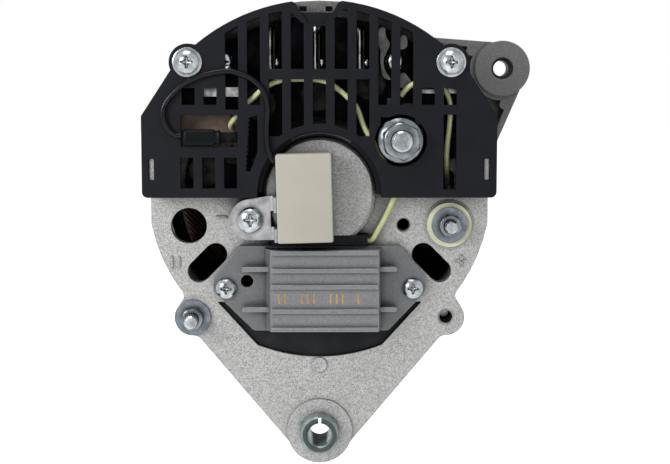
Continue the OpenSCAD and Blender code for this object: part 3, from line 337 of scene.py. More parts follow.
def soft_block(low: Sequence[float], high: Sequence[float], corner: float, edge: float,
               steps: int = 5) -> Skin:
    """A block with round corners and edges.

    Each ring is a rounded rectangle; near both faces it draws in by edge - sqrt(edge^2 - d^2).

    Args:
        low: Lowest corner.
        high: Highest corner.
        corner: Radius of the four upright edges.
        edge: Radius of the edges round the two faces.
        steps: Rings in each rounded edge.

    Returns:
        The surface.
    """
    low, high = np.asarray(low, float), np.asarray(high, float)
    half, middle = (high - low) / 2, (high + low) / 2
    t = np.linspace(0, TURN / 4, steps)
    inset = edge * (1 - np.sin(t))
    rise = edge * (1 - np.cos(t))
    insets = np.concatenate([inset, inset[::-1]])
    z = np.concatenate([-half[2] + rise, half[2] - rise[::-1]])
    ring = rounded_rectangle(half[0] - insets, half[1] - insets, max(corner, edge) + 0.01)
    ring[..., 2] = z[:, None]
    return band(ring + middle)


@dataclass(frozen=True)
class PanScrew:
    """A pan-head screw with a cross recess; the head's own sizes are shares of its radius and height."""

    head_r: float
    head_h: float
    shank_r: float
    tip_r: float
    foot: float
    washer: Pair = (0.0, 0.0)
    rim: float = 0.42
    recess_r: float = 0.56
    recess_depth: float = 0.62
    arm: float = 0.13
    hub: float = 0.24

    def head(self, at: Sequence[float], seat: float) -> Skin:
        """The head and its washer, as a height over a polar grid.

        With u = r / R, the dome is H (rim + (1 - rim) (1 - u^2.8)). The recess sinks it inside a
        round hub and where the point lies in either arm of a cross, whose arms narrow outwards.

        Args:
            at: Axis (x, y).
            seat: Height of the face that the screw bears on.

        Returns:
            The surface.
        """
        washer_r, washer_t = self.washer
        base, a = seat + washer_t, angles(FINE_RING)
        u = np.concatenate([np.linspace(0.04, 0.6, 22), np.linspace(0.64, 1.0, 12)])[:, None]
        half_arm = self.arm * (1 - 0.25 * u)
        share = np.maximum(1 - np.abs(u * np.cos(a)) / half_arm, 1 - np.abs(u * np.sin(a)) / half_arm)
        in_arm = np.clip(share * 3.2, 0, 1) * np.clip((self.recess_r - u) / 0.12, 0, 1)
        in_hub = np.clip(1.35 - u / self.hub, 0, 1)
        sink = self.recess_depth - 0.35 * u / self.recess_r * (u < self.recess_r)
        dome = self.rim + (1 - self.rim) * (1 - u ** 2.8)
        height = dome - np.maximum(np.maximum(in_arm, in_hub) * sink, 0)
        top = rings_about(at, u * self.head_r, a, base + self.head_h * height)[::-1]
        skirt = [(self.head_r, base + 0.3 * self.head_h), (self.head_r * 0.995, base)]
        if washer_r > self.head_r:
            skirt += [(washer_r - 0.25, base), (washer_r - 0.06, base - 0.08),
                      (washer_r, base - washer_t * 0.4), (washer_r - 0.05, seat)]
        return band(np.concatenate([profile_rings(skirt[::-1], FINE_RING, at), top]))

    def standing(self, at: Sequence[float], seat: float) -> Skin:
        """The whole screw; its plain shank is chamfered at the foot and ends just inside the head.

        Args:
            at: Axis (x, y).
            seat: Height of the face that the screw bears on.

        Returns:
            The surface.
        """
        shank = [(self.tip_r, self.foot), (self.shank_r, self.foot + 0.4), (self.shank_r, seat + 0.1),
                 (self.tip_r + 0.1, seat + 0.2)]
        return self.head(at, seat) + lathe(shank, 32, at)

    def placed(self, name: str, places: Sequence[Pair], seat: float, node: str) -> None:
        """Makes equal zinc-plated screws, each in its place.

        Args:
            name: Name of the piece that holds them all.
            places: Their axes.
            seat: Height of the face that they bear on.
            node: The CAD node that they stand for.
        """
        skins = [self.standing(at, seat) for at in places]
        make(name, joined(skins), Paint.ZINC, replaces=[node])


def hexagon(a: Array, flats: float) -> Array:
    """Radius of a hexagon at angle a: half the flats over the cosine of the angle to the nearest flat."""
    return flats / 2 / np.cos((a + TURN / 12) % (TURN / 6) - TURN / 12)


def hex_nut(at: Sequence[float], flats: float, bore: float, low: float, high: float, cut: float,
            turned: float) -> Skin:
    """A nut: its radius is the lesser of the hexagon's and that of the two chamfering cones.

    Args:
        at: Axis (x, y).
        flats: Width across flats.
        bore: Radius of the hole.
        low: Lower face.
        high: Upper face.
        cut: Height of the chamfer at the corners.
        turned: Angle of the first flat, in degrees.

    Returns:
        The surface, a closed ring.
    """
    a = angles(FINE_RING)
    corner = flats / 2 / math.cos(TURN / 12)
    waist = flats / 2 * 0.97
    t = np.linspace(0, 1, 6)
    cone = waist + (corner - waist) * t
    up = cut * t ** 1.3
    mouth = [bore + 0.5, bore + 0.55]
    radii = np.concatenate([mouth, cone, cone[::-1], mouth[::-1], [bore, bore]])
    z = np.concatenate([[low, low], low + up, high - up[::-1], [high, high, high - 0.5, low + 0.5]])
    r = np.minimum(radii[:, None], hexagon(a - math.radians(turned), flats))
    return band(rings_about(at, r, a, z[:, None]), closed=True)


def thread(at: Sequence[float], crest: float, pitch: float, span: Pair, around: int = 32) -> Skin:
    """A screw thread, tapered at both ends.

    Its radius is crest - depth * |2 frac(z / pitch - a / turn) - 1|^0.8.

    Args:
        at: Axis (x, y).
        crest: Radius over the turns.
        pitch: Height of a turn.
        span: Lower and upper end.
        around: Points in a ring.

    Returns:
        The surface.
    """
    low, high = span
    z = np.linspace(low, high, int((high - low) / pitch * 10))[:, None]
    a = angles(around)
    depth = 0.56 * pitch * np.abs(2 * ((z / pitch - a / TURN) % 1.0) - 1) ** 0.8
    taper = np.clip((z - low) / (0.7 * pitch), 0, 1) * np.clip((high - z) / (0.7 * pitch), 0, 1)
    r = crest - depth * taper - (1 - taper) * 0.12 * (high - z < pitch)
    return band(rings_about(at, r, a, z))


def make(name: str, skin: Skin, finish: "Paint", body: str = HOUSING,
         replaces: Sequence[str] = ()) -> bpy.types.Object:
    """Makes a piece from a surface, rides it on its body and hides the CAD nodes that it stands for.

    Args:
        name: Name of the piece.
        skin: Its surface.
        finish: What it wears.
        body: The CAD body that carries it.
        replaces: CAD nodes that it stands for.

    Returns:
        The object, at the origin, with its place in its mesh.
    """
    mesh = bpy.data.meshes.new(name)
    mesh.from_pydata(BENCH.row(skin.points).tolist(), [], skin.faces())
    mesh.validate()
    mesh.shade_smooth()
    mesh.set_sharp_from_angle(angle=SHARP_ANGLE)
    mesh.materials.append(finish.made())
    piece = bpy.data.objects.new(name, mesh)
    bpy.context.scene.collection.objects.link(piece)
    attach(piece, body)
    if replaces:
        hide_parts(*replaces)
    LOG.info("%s: %d faces on %s", name, len(mesh.polygons), body)
    return piece


def dress(finish: "Paint", *nodes: str) -> None:
    """Gives CAD nodes a finish.

    Args:
        finish: What they wear.
        *nodes: Names of the nodes.
    """
    for name in nodes:
        mesh = frame["nodes"][name].data
        mesh.materials.clear()
        mesh.materials.append(finish.made())
        LOG.info("%s wears %s", name, finish.value.name)


class Recipe:
    """A material under construction: nodes are added by kind, with values or links as inputs."""

    def __init__(self, name: str) -> None:
        """Starts an empty material with its shader, its output and its object coordinates.

        Args:
            name: Name of the material.
        """
        self.material = bpy.data.materials.new(name)
        self.material.use_nodes = True
        self.tree = self.material.node_tree
        self.tree.nodes.clear()
        self.shader = self.tree.nodes.new("ShaderNodeBsdfPrincipled")
        output = self.tree.nodes.new("ShaderNodeOutputMaterial")
        self.tree.links.new(self.shader.outputs[0], output.inputs[0])
        self.place = self.node("ShaderNodeTexCoord").outputs["Object"]

    def node(self, kind: str, inputs: dict | None = None, **settings: object) -> bpy.types.Node:
        """Adds a node.

        Args:
            kind: Its type.
            inputs: Socket name or index to a value or to another node's output.
            **settings: The node's own properties.

        Returns:
            The node.
        """
        made = self.tree.nodes.new(kind)
        for key, value in settings.items():
            setattr(made, key, value)
        for key, value in (inputs or {}).items():
            self.feed(made.inputs[key], value)
        return made

    def feed(self, socket: Socket, value: object) -> None:
        """Links a socket to an output, or sets its value.

        Args:
            socket: The input.
            value: Another node's output, or what the socket holds.
        """
        if isinstance(value, Socket):
            self.tree.links.new(value, socket)
        else:
            socket.default_value = value

    def stretched(self, scale: Sequence[float]) -> Socket:
        """Object coordinates scaled along each axis."""
        return self.node("ShaderNodeMapping", {"Vector": self.place, "Scale": scale}).outputs[0]

    def noise(self, size: float, detail: float = 2.0, vector: Socket | None = None) -> Socket:
        """Noise whose features measure about size millimetres, from 0 to 1."""
        return self.node("ShaderNodeTexNoise", {"Vector": vector or self.place, "Scale": 1 / (size * MM),
                                                "Detail": detail}).outputs[0]

    def wave(self, width: float, direction: str, vector: Socket, distortion: float,
             **inputs: float) -> Socket:
        """Light and dark bands, from 0 to 1.

        Args:
            width: Width of a light and a dark band in millimetres.
            direction: The wave node's direction.
            vector: The coordinates.
            distortion: How far the bands wander.
            **inputs: The wave node's other inputs, named with underscores for spaces.

        Returns:
            The bands.
        """
        others = {name.replace("_", " "): value for name, value in inputs.items()}
        return self.node("ShaderNodeTexWave",
                         {"Vector": vector, "Scale": 1 / (width * MM * TURN) * 2, "Distortion": distortion,
                          "Detail": 1.0, **others}, bands_direction=direction).outputs[1]

    def cells(self, size: float) -> Socket:
        """A random value for each cell about size millimetres wide."""
        found = self.node("ShaderNodeTexVoronoi", {"Vector": self.place, "Scale": 1 / (size * MM)})
        return self.node("ShaderNodeSeparateColor", {0: found.outputs["Color"]}).outputs[0]

    def between(self, value: object, low: float, high: float, start: float = 0.0, end: float = 1.0) -> Socket:
        """Maps a value from start..end to low..high."""
        return self.node("ShaderNodeMapRange", {0: value, 1: start, 2: end, 3: low, 4: high}).outputs[0]

    def blend(self, share: object, first: object, second: object) -> Socket:
        """A colour between two, by share."""
        pair = [c if isinstance(c, Socket) else (*c, 1.0) for c in (first, second)]
        return self.node("ShaderNodeMix", {0: share, 6: pair[0], 7: pair[1]}, data_type="RGBA").outputs[2]

    def sum(self, first: object, second: object, share: float) -> Socket:
        """first + second * share."""
        return self.node("ShaderNodeMath", {0: second, 1: share, 2: first},
                         operation="MULTIPLY_ADD").outputs[0]

    def edge_wear_and_sheen(self, width: float) -> Socket:
        """1 along edges and 0 on flats: how far a rounded edge's normal leans from the true one.

        Args:
            width: How far the rounding reaches, in millimetres.

        Returns:
            The share of edge wear and painted highlight.
        """
        rounded = self.node("ShaderNodeBevel", {"Radius": width * MM}, samples=6).outputs[0]
        true = self.node("ShaderNodeNewGeometry").outputs["Normal"]
        lean = self.node("ShaderNodeVectorMath", {0: rounded, 1: true}, operation="DOT_PRODUCT")
        return self.between(lean.outputs["Value"], 1.0, 0.0, 0.72, 0.97)

    def painted_shade(self, reach: float, most: float, deep: float = 0.3, open_air: float = 0.92) -> Socket:
        """The share of painted shade in a cranny, from the share of sky within reach millimetres.

        Args:
            reach: How far away a wall still counts.
            most: The share of painted shade where it is deepest.
            deep: The share of sky at which the painted shade is deepest.
            open_air: The share of sky at which none is left.

        Returns:
            The share of painted shade.
        """
        sky = self.node("ShaderNodeAmbientOcclusion", {"Distance": reach * MM}, samples=6).outputs["AO"]
        return self.between(sky, most, 0.0, deep, open_air)

    def hidden(self) -> Socket:
        """1 deep inside the machine, where walls within 25 mm shut out the sky, and 0 in the open: the share
        of painted black shade.
        """
        return self.painted_shade(25.0, 1.0, 0.55, 0.9)

    def beyond(self, axis: Axis, start: float, end: float) -> Socket:
        """0 at start and 1 at end, measured along a bench axis.

        Args:
            axis: The axis.
            start: Where the value is 0, in bench millimetres.
            end: Where it is 1.

        Returns:
            The value.
        """
        bench, row = axis.value
        first, last = (BENCH.row(np.eye(3)[bench] * value)[row] for value in (start, end))
        along = self.node("ShaderNodeSeparateXYZ", {0: self.place}).outputs[row]
        return self.between(along, 0.0, 1.0, float(first), float(last))

    def ring(self, at: Pair, inner: float, outer: float) -> Socket:
        """1 between two radii about an axis parallel to the shaft, and 0 elsewhere.

        Args:
            at: The axis (x, y).
            inner: The smaller radius.
            outer: The larger radius.

        Returns:
            The value, which changes over a blur of 0.12 mm.
        """
        centre = BENCH.row((at[0], at[1], 0.0)).tolist()
        flat = self.node("ShaderNodeMapping", {"Vector": self.place, "Scale": (1.0, 0.0, 1.0),
                                               "Location": (-centre[0], 0.0, -centre[2])}).outputs[0]
        reach = self.node("ShaderNodeVectorMath", {0: flat}, operation="LENGTH").outputs["Value"]
        blur = 0.12 * MM
        within = self.between(reach, 0.0, 1.0, inner * MM, inner * MM + blur)
        without = self.between(reach, 1.0, 0.0, outer * MM, outer * MM + blur)
        return self.node("ShaderNodeMath", {0: within, 1: without}, operation="MULTIPLY").outputs[0]

    def relief(self, height: Socket, depth: float, edge: float = 0.0) -> None:
        """Bumps the surface, over rounded edges.

        Args:
            height: The relief, from 0 to 1.
            depth: How deep it is, in millimetres.
            edge: Radius of the edges, in millimetres.
        """
        inputs: dict = {"Height": height, "Distance": depth * MM, "Strength": 1.0}
        if edge > 0:
            inputs["Normal"] = self.node("ShaderNodeBevel", {"Radius": edge * MM}, samples=4).outputs[0]
        self.feed(self.shader.inputs["Normal"], self.node("ShaderNodeBump", inputs).outputs[0])

    def set(self, **sockets: object) -> None:
        """Feeds the shader's sockets.

        Args:
            **sockets: A value or an output for each socket, named with underscores for spaces.
        """
        for name, value in sockets.items():
            plain = name.replace("_", " ").title().replace("Ior", "IOR")
            self.feed(self.shader.inputs[plain], (*value, 1.0) if isinstance(value, tuple) else value)


def toned(colour: Triple, factor: float) -> Triple:
    """A colour made lighter or darker."""
    return tuple(min(1.0, c * factor) for c in colour)


@dataclass(frozen=True)
class Toning:
    """A lighter or darker part of a casting, which fades in from start to end along a bench axis."""

    axis: Axis
    start: float
    end: float
    factor: float


@dataclass(frozen=True)
class Casting:
    """Shot-blasted or fettled cast metal: bright and dark grains over a slow mottle."""

    name: str
    colour: Triple
    grain: float = 0.33
    contrast: float = 0.62
    roughness: float = 0.5
    metallic: float = 0.7
    depth: float = 0.09
    edge: float = 0.5
    worn: float = 0.3
    crevice_shade: float = 0.6
    crest: float = 1.7
    toning: tuple[Toning, ...] = ()

    def material(self) -> Material:
        """Builds the material.

        Returns:
            The material: grains, then toning, stains, crests lightened as wear and painted highlight, painted
                shade in crannies and painted black shade in enclosed depths.
        """
        r = Recipe(self.name)
        grains = r.cells(self.grain)
        fine = r.noise(self.grain * 0.8, 3.0)
        mottle = r.between(r.noise(14.0, 3.0), 0.0, 1.0, 0.35, 0.65)
        speckle = r.between(r.sum(r.between(grains, 0.0, 0.62), fine, 0.6), 0.0, 1.0, 0.12, 0.86)
        dark, light = toned(self.colour, 1 - self.contrast), toned(self.colour, 1 + self.contrast)
        grained = r.blend(speckle, dark, light)
        for tone in self.toning:
            toned_part = r.blend(speckle, toned(dark, tone.factor), toned(light, tone.factor))
            grained = r.blend(r.beyond(tone.axis, tone.start, tone.end), grained, toned_part)
        stained = r.blend(r.between(mottle, 0.0, 0.16), grained, toned(self.colour, 0.8))
        # edges lighter by crest: edge wear and painted highlight
        worn = r.blend(r.between(r.edge_wear_and_sheen(self.edge), 0.0, self.worn), stained, toned(self.colour, self.crest))
        # painted shade: a quarter of the colour in crannies within 2.5 mm
        crevice_shade = r.blend(r.painted_shade(2.5, self.crevice_shade), worn, toned(self.colour, 0.25))
        # painted shade: near black where walls within 14 mm shut out the sky
        shut_in = r.blend(r.painted_shade(14.0, 0.98, 0.2, 0.5), crevice_shade, toned(self.colour, 0.02))
        r.set(base_color=shut_in, roughness=r.between(grains, self.roughness - 0.12, self.roughness + 0.12))
        r.set(metallic=self.metallic, specular_ior_level=0.25)
        r.relief(r.sum(fine, grains, 0.7), self.depth, self.edge)
        return r.material


@dataclass(frozen=True)
class Moulding:
    """Moulded plastic or rubber with a faint grain, rubbed paler in places."""

    name: str
    colour: Triple
    roughness: float = 0.5
    grain: float = 0.4
    depth: float = 0.01
    edge: float = 0.1
    gloss: float = 0.5
    worn: float = 0.25
    variety: float = 0.15

    def material(self) -> Material:
        """Builds the material.

        Returns:
            The material.
        """
        r = Recipe(self.name)
        fine = r.noise(self.grain, 2.0)
        rubbed = r.between(r.noise(9.0, 4.0), 0.0, 1.0, 0.42, 0.7)
        plain = r.blend(rubbed, toned(self.colour, 1 - self.variety), toned(self.colour, 1 + self.variety))
        if self.worn > 0:
            # edges paler: wear and painted highlight
            plain = r.blend(r.between(r.edge_wear_and_sheen(0.3), 0.0, self.worn), plain, toned(self.colour, 2.2))
        r.set(base_color=plain, roughness=r.between(rubbed, self.roughness + 0.05, self.roughness - 0.06),
              specular_ior_level=self.gloss)
        r.relief(fine, self.depth, self.edge)
        return r.material


@dataclass(frozen=True)
class Plating:
    """Bright plated or machined metal: fine scratches, faint colour drift and painted shade in crannies."""

    name: str
    colour: Triple
    tint: Triple
    roughness: float = 0.2
    scratch: float = 0.01
    edge: float = 0.18
    metallic: float = 1.0
    crevice_shade: float = 0.8
    reach: float = 1.4
    gap_shade_ring: tuple[Pair, float, float] | None = None

    def material(self) -> Material:
        """Builds the material.

        Returns:
            The material.
        """
        r = Recipe(self.name)
        drift = r.between(r.noise(3.5, 2.0), 0.0, 1.0, 0.35, 0.65)
        scratches = r.noise(0.5, 3.0, r.stretched((1.0, 0.25, 3.0)))
        clean = r.blend(drift, self.colour, self.tint)
        if self.gap_shade_ring:
            # painted shade: a dark ring that stands for a shaded gap
            clean = r.blend(r.ring(*self.gap_shade_ring), clean, toned(self.tint, 0.35))
        # painted shade: the colour darkens in crannies within reach millimetres
        r.set(base_color=r.blend(r.painted_shade(self.reach, self.crevice_shade), clean, toned(self.colour, 0.12)),
              roughness=r.between(r.sum(scratches, drift, 0.3), self.roughness - 0.07,
                                  self.roughness + 0.12, 0.3, 0.9),
              metallic=self.metallic)
        r.relief(scratches, self.scratch, self.edge)
        return r.material


@dataclass(frozen=True)
class Laminations:
    """A stack of varnished steel sheets: fine dark lines square to the shaft."""

    name: str
    colour: Triple
    pitch: float = 0.65

    def material(self) -> Material:
        """Builds the material, whose wave runs along the shaft, which is the row's Y axis.

        Returns:
            The material.
        """
        r = Recipe(self.name)
        wave = r.wave(self.pitch, "Y", r.place, 0.4)
        stain = r.between(r.noise(5.0, 3.0), 0.0, 0.5)
        hidden = r.hidden()
        lines = r.blend(wave, toned(self.colour, 0.45), self.colour)
        plain = r.blend(stain, lines, toned(self.colour, 0.6))
        # painted shade: near black deep inside the machine
        r.set(base_color=r.blend(hidden, plain, toned(self.colour, 0.01)),
              metallic=r.between(hidden, 0.55, 1.0), roughness=0.5)
        r.relief(wave, 0.06)
        return r.material


@dataclass(frozen=True)
class Winding:
    """Enamelled wires laid side by side, glossy with varnish."""

    name: str
    colour: Triple
    wire: float = 0.9

    def material(self) -> Material:
        """Builds the material.

        Returns:
            The material.
        """
        r = Recipe(self.name)
        wander = r.noise(7.0, 2.0)
        strands = r.wave(self.wire, "DIAGONAL", r.stretched((1.0, 0.35, 1.0)), 5.0, Detail_Scale=0.6)
        tone = r.blend(strands, toned(self.colour, 0.35), self.colour)
        aged = r.blend(r.between(wander, 0.0, 0.6, 0.4, 0.7), tone, toned(self.colour, 0.5))
        hidden = r.hidden()
        # painted shade: near black deep inside the machine
        r.set(base_color=r.blend(hidden, aged, toned(self.colour, 0.01)),
              metallic=r.between(hidden, 0.35, 1.0), roughness=0.32)
        r.relief(strands, 0.25)
        return r.material


@dataclass(frozen=True)
class Board:
    """Brown laminated resin with woven threads and flux stains."""

    name: str
    colour: Triple

    def material(self) -> Material:
        """Builds the material.

        Returns:
            The material.
        """
        r = Recipe(self.name)
        weave = r.noise(0.7, 2.0, r.stretched((0.3, 1.0, 1.0)))
        stain = r.between(r.noise(4.0, 4.0), 0.0, 1.0, 0.4, 0.65)
        r.set(base_color=r.blend(stain, toned(self.colour, 0.7), toned(self.colour, 1.25)), roughness=0.45)
        r.relief(weave, 0.03, 0.2)
        return r.material


class Paint(Enum):
    """The finishes of this alternator's pieces."""

    REAR_CASTING = Casting("shot_blasted_aluminium", (0.345, 0.342, 0.338),
                           toning=(Toning(Axis.REARWARD, 5.0, 8.0, 0.8), Toning(Axis.UP, 66.0, 68.5, 0.4)))
    FRONT_CASTING = Casting("satin_bracket_casting", (0.165, 0.165, 0.168), grain=0.8, contrast=0.2,
                            roughness=0.55, metallic=0.4, depth=0.04, edge=0.7, worn=0.5)
    # Painted shade: the toning darkens the low flange, which lies in the fins' shadow; crest lightens the fin
    # crests as wear and painted highlight.
    REGULATOR = Casting("regulator_die_casting", (0.2, 0.204, 0.21), grain=0.4, contrast=0.25, roughness=0.42,
                        metallic=0.55, depth=0.03, edge=0.4, worn=0.9, crevice_shade=0.8, crest=2.8,
                        toning=(Toning(Axis.REARWARD, 7.0, 4.5, 0.7),))
    COVER = Moulding("black_cover_plastic", (0.0088, 0.0094, 0.0125), roughness=0.45, edge=0.45, gloss=0.12)
    KNURL = Moulding("rubbed_cover_knurl", (0.09, 0.09, 0.1), roughness=0.4, worn=1.0)
    HOLDER = Moulding("black_holder_resin", (0.011, 0.012, 0.014), roughness=0.55, grain=0.5, depth=0.03,
                      edge=0.3, gloss=0.2, worn=0.6, variety=0.3)
    CAPACITOR = Moulding("beige_case_resin", (0.515, 0.478, 0.412), roughness=0.38, grain=1.5, depth=0.004,
                         edge=0.5, gloss=0.4, worn=0.0, variety=0.02)
    LEAD = Moulding("lead_rubber", (0.003, 0.0035, 0.005), roughness=0.2, grain=0.8, depth=0.008, edge=0.0,
                    gloss=0.2, worn=0.0)
    SLEEVE = Moulding("shrunk_sleeve", (0.002, 0.004, 0.004), roughness=0.3, grain=1.2, depth=0.03, edge=0.0,
                      gloss=0.1, worn=1.0)
    YELLOW = Moulding("pale_yellow_plastic", (0.8, 0.82, 0.42), roughness=0.4, grain=0.9, edge=0.0, gloss=0.4,
                      worn=0.0)
    INSULATOR = Moulding("straw_insulator_resin", (0.86, 0.88, 0.6), roughness=0.35, grain=0.9, edge=0.3,
                         gloss=0.4, worn=0.0)
    SEAL = Moulding("lip_seal_rubber", (0.02, 0.02, 0.021), roughness=0.6, grain=0.6, depth=0.02, edge=0.2)
    SPACER = Moulding("dark_spacer_resin", (0.006, 0.006, 0.0065), roughness=0.6, grain=0.6, depth=0.02,
                      edge=0.2, gloss=0.1)
    CARBON = Moulding("pressed_carbon", (0.02, 0.019, 0.019), grain=0.5, depth=0.02)
    CHIP = Moulding("black_diode_resin", (0.012, 0.012, 0.012), roughness=0.45)
    OCHRE = Moulding("ochre_print_ink", (0.42, 0.27, 0.1), depth=0.006, edge=0.0)
    ZINC = Plating("bright_zinc", (0.475, 0.51, 0.53), (0.245, 0.265, 0.275), roughness=0.12, scratch=0.02,
                   edge=0.25, crevice_shade=0.75, reach=1.6)
    WASHER = Plating("dull_zinc_washer", (0.2, 0.225, 0.26), (0.12, 0.135, 0.15), roughness=0.3, scratch=0.03,
                     edge=0.3, crevice_shade=0.9, reach=2.4)
    NUT = Plating("zinc_nut", (0.235, 0.26, 0.277), (0.125, 0.138, 0.147), roughness=0.14, scratch=0.02,
                  edge=0.3, crevice_shade=0.95, reach=3.0)
    # Painted shade: the dark ring on the bush's face stands for the shaded gap round it in the lug.
    BUSH = Plating("green_passivated_zinc", (0.3, 0.36, 0.365), (0.13, 0.17, 0.175), roughness=0.24,
                   scratch=0.02, edge=0.3, metallic=0.35, crevice_shade=0.4, gap_shade_ring=((0.0, -95.0), 4.95, 6.6))
    STRAP = Plating("plated_strap", (0.42, 0.42, 0.43), (0.26, 0.26, 0.265), roughness=0.3)
    PRESSED = Plating("zinc_pressing", (0.5, 0.51, 0.5), (0.42, 0.43, 0.42), roughness=0.34, scratch=0.015,
                      edge=0.3)
    MACHINED = Plating("turned_steel", (0.45, 0.45, 0.46), (0.37, 0.37, 0.38), roughness=0.3, scratch=0.02)
    FORGED = Plating("forged_pole_steel", (0.24, 0.24, 0.25), (0.16, 0.16, 0.165), roughness=0.42,
                     scratch=0.04, edge=0.4, metallic=0.8)
    GROUND = Plating("ground_bearing_steel", (0.66, 0.66, 0.67), (0.6, 0.6, 0.61), roughness=0.12,
                     scratch=0.003, edge=0.1)
    BRASS = Plating("pressed_brass", (0.56, 0.4, 0.15), (0.46, 0.32, 0.12), roughness=0.28, edge=0.1)
    RING_COPPER = Plating("slip_ring_copper", (0.7, 0.35, 0.2), (0.58, 0.28, 0.15), edge=0.1)
    # Painted shade: the heat sink plates are coloured near black to stand for the shade under the cover.
    SINK = Plating("dark_sink_plate", (0.008, 0.0085, 0.0095), (0.004, 0.004, 0.0045), roughness=0.5,
                   scratch=0.02, edge=0.2, crevice_shade=0.97, reach=9.0)
    TAB = Plating("bare_sink_aluminium", (0.2, 0.2, 0.205), (0.11, 0.11, 0.112), roughness=0.5, scratch=0.05,
                  edge=0.1, metallic=0.5, crevice_shade=0.3)
    BRUSHED = Plating("brushed_aluminium_strip", (0.62, 0.62, 0.63), (0.26, 0.26, 0.265), roughness=0.4,
                      scratch=0.06, edge=0.1, metallic=0.8, crevice_shade=0.3)
    DIODE = Plating("dark_diode_case", (0.02, 0.02, 0.02), (0.008, 0.008, 0.008), roughness=0.3, edge=0.2,
                    crevice_shade=0.95, reach=6.0)
    SPADE = Plating("tarnished_spade", (0.016, 0.016, 0.016), (0.004, 0.004, 0.004), roughness=0.15)
    TINNED = Plating("tinned_copper", (0.6, 0.6, 0.59), (0.16, 0.16, 0.155), roughness=0.1, scratch=0.09,
                     edge=0.0, crevice_shade=0.9, reach=3.0)
    TAIL = Plating("varnished_winding_tail", (0.02, 0.019, 0.018), (0.006, 0.006, 0.006), roughness=0.12,
                   scratch=0.04, edge=0.0)
    STACK = Laminations("stator_laminations", (0.08, 0.08, 0.085))
    COPPER = Winding("enamelled_copper_wire", (0.13, 0.045, 0.017))
    BOARD = Board("brown_terminal_board", (0.17, 0.11, 0.085))

    def made(self) -> Material:
        """The finish's material, built the first time that it is asked for.

        Returns:
            The material.
        """
        if self.name not in MADE:
            MADE[self.name] = self.value.material()
        return MADE[self.name]


@dataclass
class Castings:
    """The two brackets, the stator between them and what stands on their faces."""

    bars: tuple[tuple[float, float, float, float], ...] = (
        (-38.2, -10.2, 4.6, 1.1), (-57.6, -27.8, 1.1, 4.6), (-54.8, -27.8, 1.1, 4.6),
        (55.6, -27.4, 4.6, 1.1), (55.6, -27.4, 1.1, 4.6))
    bar_rise: float = 0.6
    bar_foot: float = -0.3
    marks: tuple[Pair, ...] = ((66.6, 55.7), (81.3, 32.3))
    mark_r: float = 2.5
    mark_rise: float = 0.12
    mark_depth: float = 6.0
    gate_at: Pair = (0.0, -68.6)
    gate_profile: tuple[Pair, ...] = ((3.1, -0.3), (3.1, 0.45), (2.9, 0.75), (2.5, 0.9), (2.0, 0.75),
                                      (1.2, 0.45), (0.05, 0.4))

    def cast_bars(self) -> None:
        """Raises the plain terminal bars: each is a soft block half sunk into the rear face."""
        blocks = [soft_block((x - w / 2, y - h / 2, self.bar_foot), (x + w / 2, y + h / 2, self.bar_rise),
                             0.35, 0.25) for x, y, w, h in self.bars]
        make("cast_terminal_bars", joined(blocks), Paint.REAR_CASTING)

    def ejector_marks(self) -> None:
        """Stands the round marks of ejector pins on the ear, each a low boss from the ribs downwards."""
        r, skins = self.mark_r, []
        for at in self.marks:
            rim = rings_about(at, np.full(DROP_RING, r), angles(DROP_RING), 0.0)[:, :2]
            top = float(seat_heights("front_bracket", rim).max()) + self.mark_rise
            foot = top - self.mark_depth
            skins.append(lathe([(r - 0.4, foot), (r, foot + 0.4), (r, top - 0.15), (r - 0.15, top),
                                (r - 0.35, top), (r - 0.5, top - 0.14), (0.05, top - 0.14)], MARK_RING, at))
        make("ear_ejector_marks", joined(skins), Paint.FRONT_CASTING)

    def gate_mark(self) -> None:
        """Raises the small round gate mark under the regulator, dished in its middle."""
        make("cast_gate_mark", lathe(self.gate_profile, MARK_RING, self.gate_at), Paint.REAR_CASTING)

    def build(self) -> None:
        """Dresses the castings and adds their marks."""
        dress(Paint.REAR_CASTING, "rear_bracket")
        dress(Paint.FRONT_CASTING, "front_bracket")
        dress(Paint.STACK, "stator_core")
        dress(Paint.COPPER, "stator_winding", "field_winding")
        dress(Paint.ZINC, "through_bolts")
        dress(Paint.WASHER, "m5_washers")
        dress(Paint.BUSH, "pivot_bush")
        self.cast_bars()
        self.ejector_marks()
        self.gate_mark()


@dataclass
class Cover:
    """The slotted plastic cover and its two screws."""

    half: float = 49.7
    top: float = 14.0
    knurl_r: float = 22.9
    knurl_top: float = 8.0
    knurl_span: Pair = (58.0, 118.0)
    knurl_teeth: int = 34
    knurl_lift: float = 0.22
    knurl_section: tuple[Pair, ...] = ((-0.3, -0.2), (0.3, -0.2), (0.3, 0.02), (0.12, 0.1), (-0.12, 0.1),
                                       (-0.3, 0.02))
    screw: PanScrew = PanScrew(head_r=4.35, head_h=3.0, shank_r=2.5, tip_r=2.1, foot=-10.0, washer=(5.6, 1.0))

    def arch_knurl(self) -> None:
        """Rolls a fine knurl on the arch's rim: a low bead whose height is |sin| of its angle's multiple."""
        span = np.radians(np.linspace(*self.knurl_span, self.knurl_teeth * 6 + 1))[:, None]
        lift = self.knurl_lift * np.abs(np.sin(np.linspace(0, self.knurl_teeth * math.pi, len(span))))
        across, up = np.array(self.knurl_section).T
        rings = rings_about((0, 0), self.knurl_r + across, span,
                            self.knurl_top + up + lift[:, None] * (up > 0))
        make("arch_knurl", band(rings), Paint.KNURL)

    def build(self) -> None:
        """Dresses the cover and makes its knurl and screws."""
        dress(Paint.COVER, "rear_cover")
        self.arch_knurl()
        self.screw.placed("cover_screw_pair", [(-self.half, self.half), (self.half, self.half)], self.top,
                          "cover_screws")


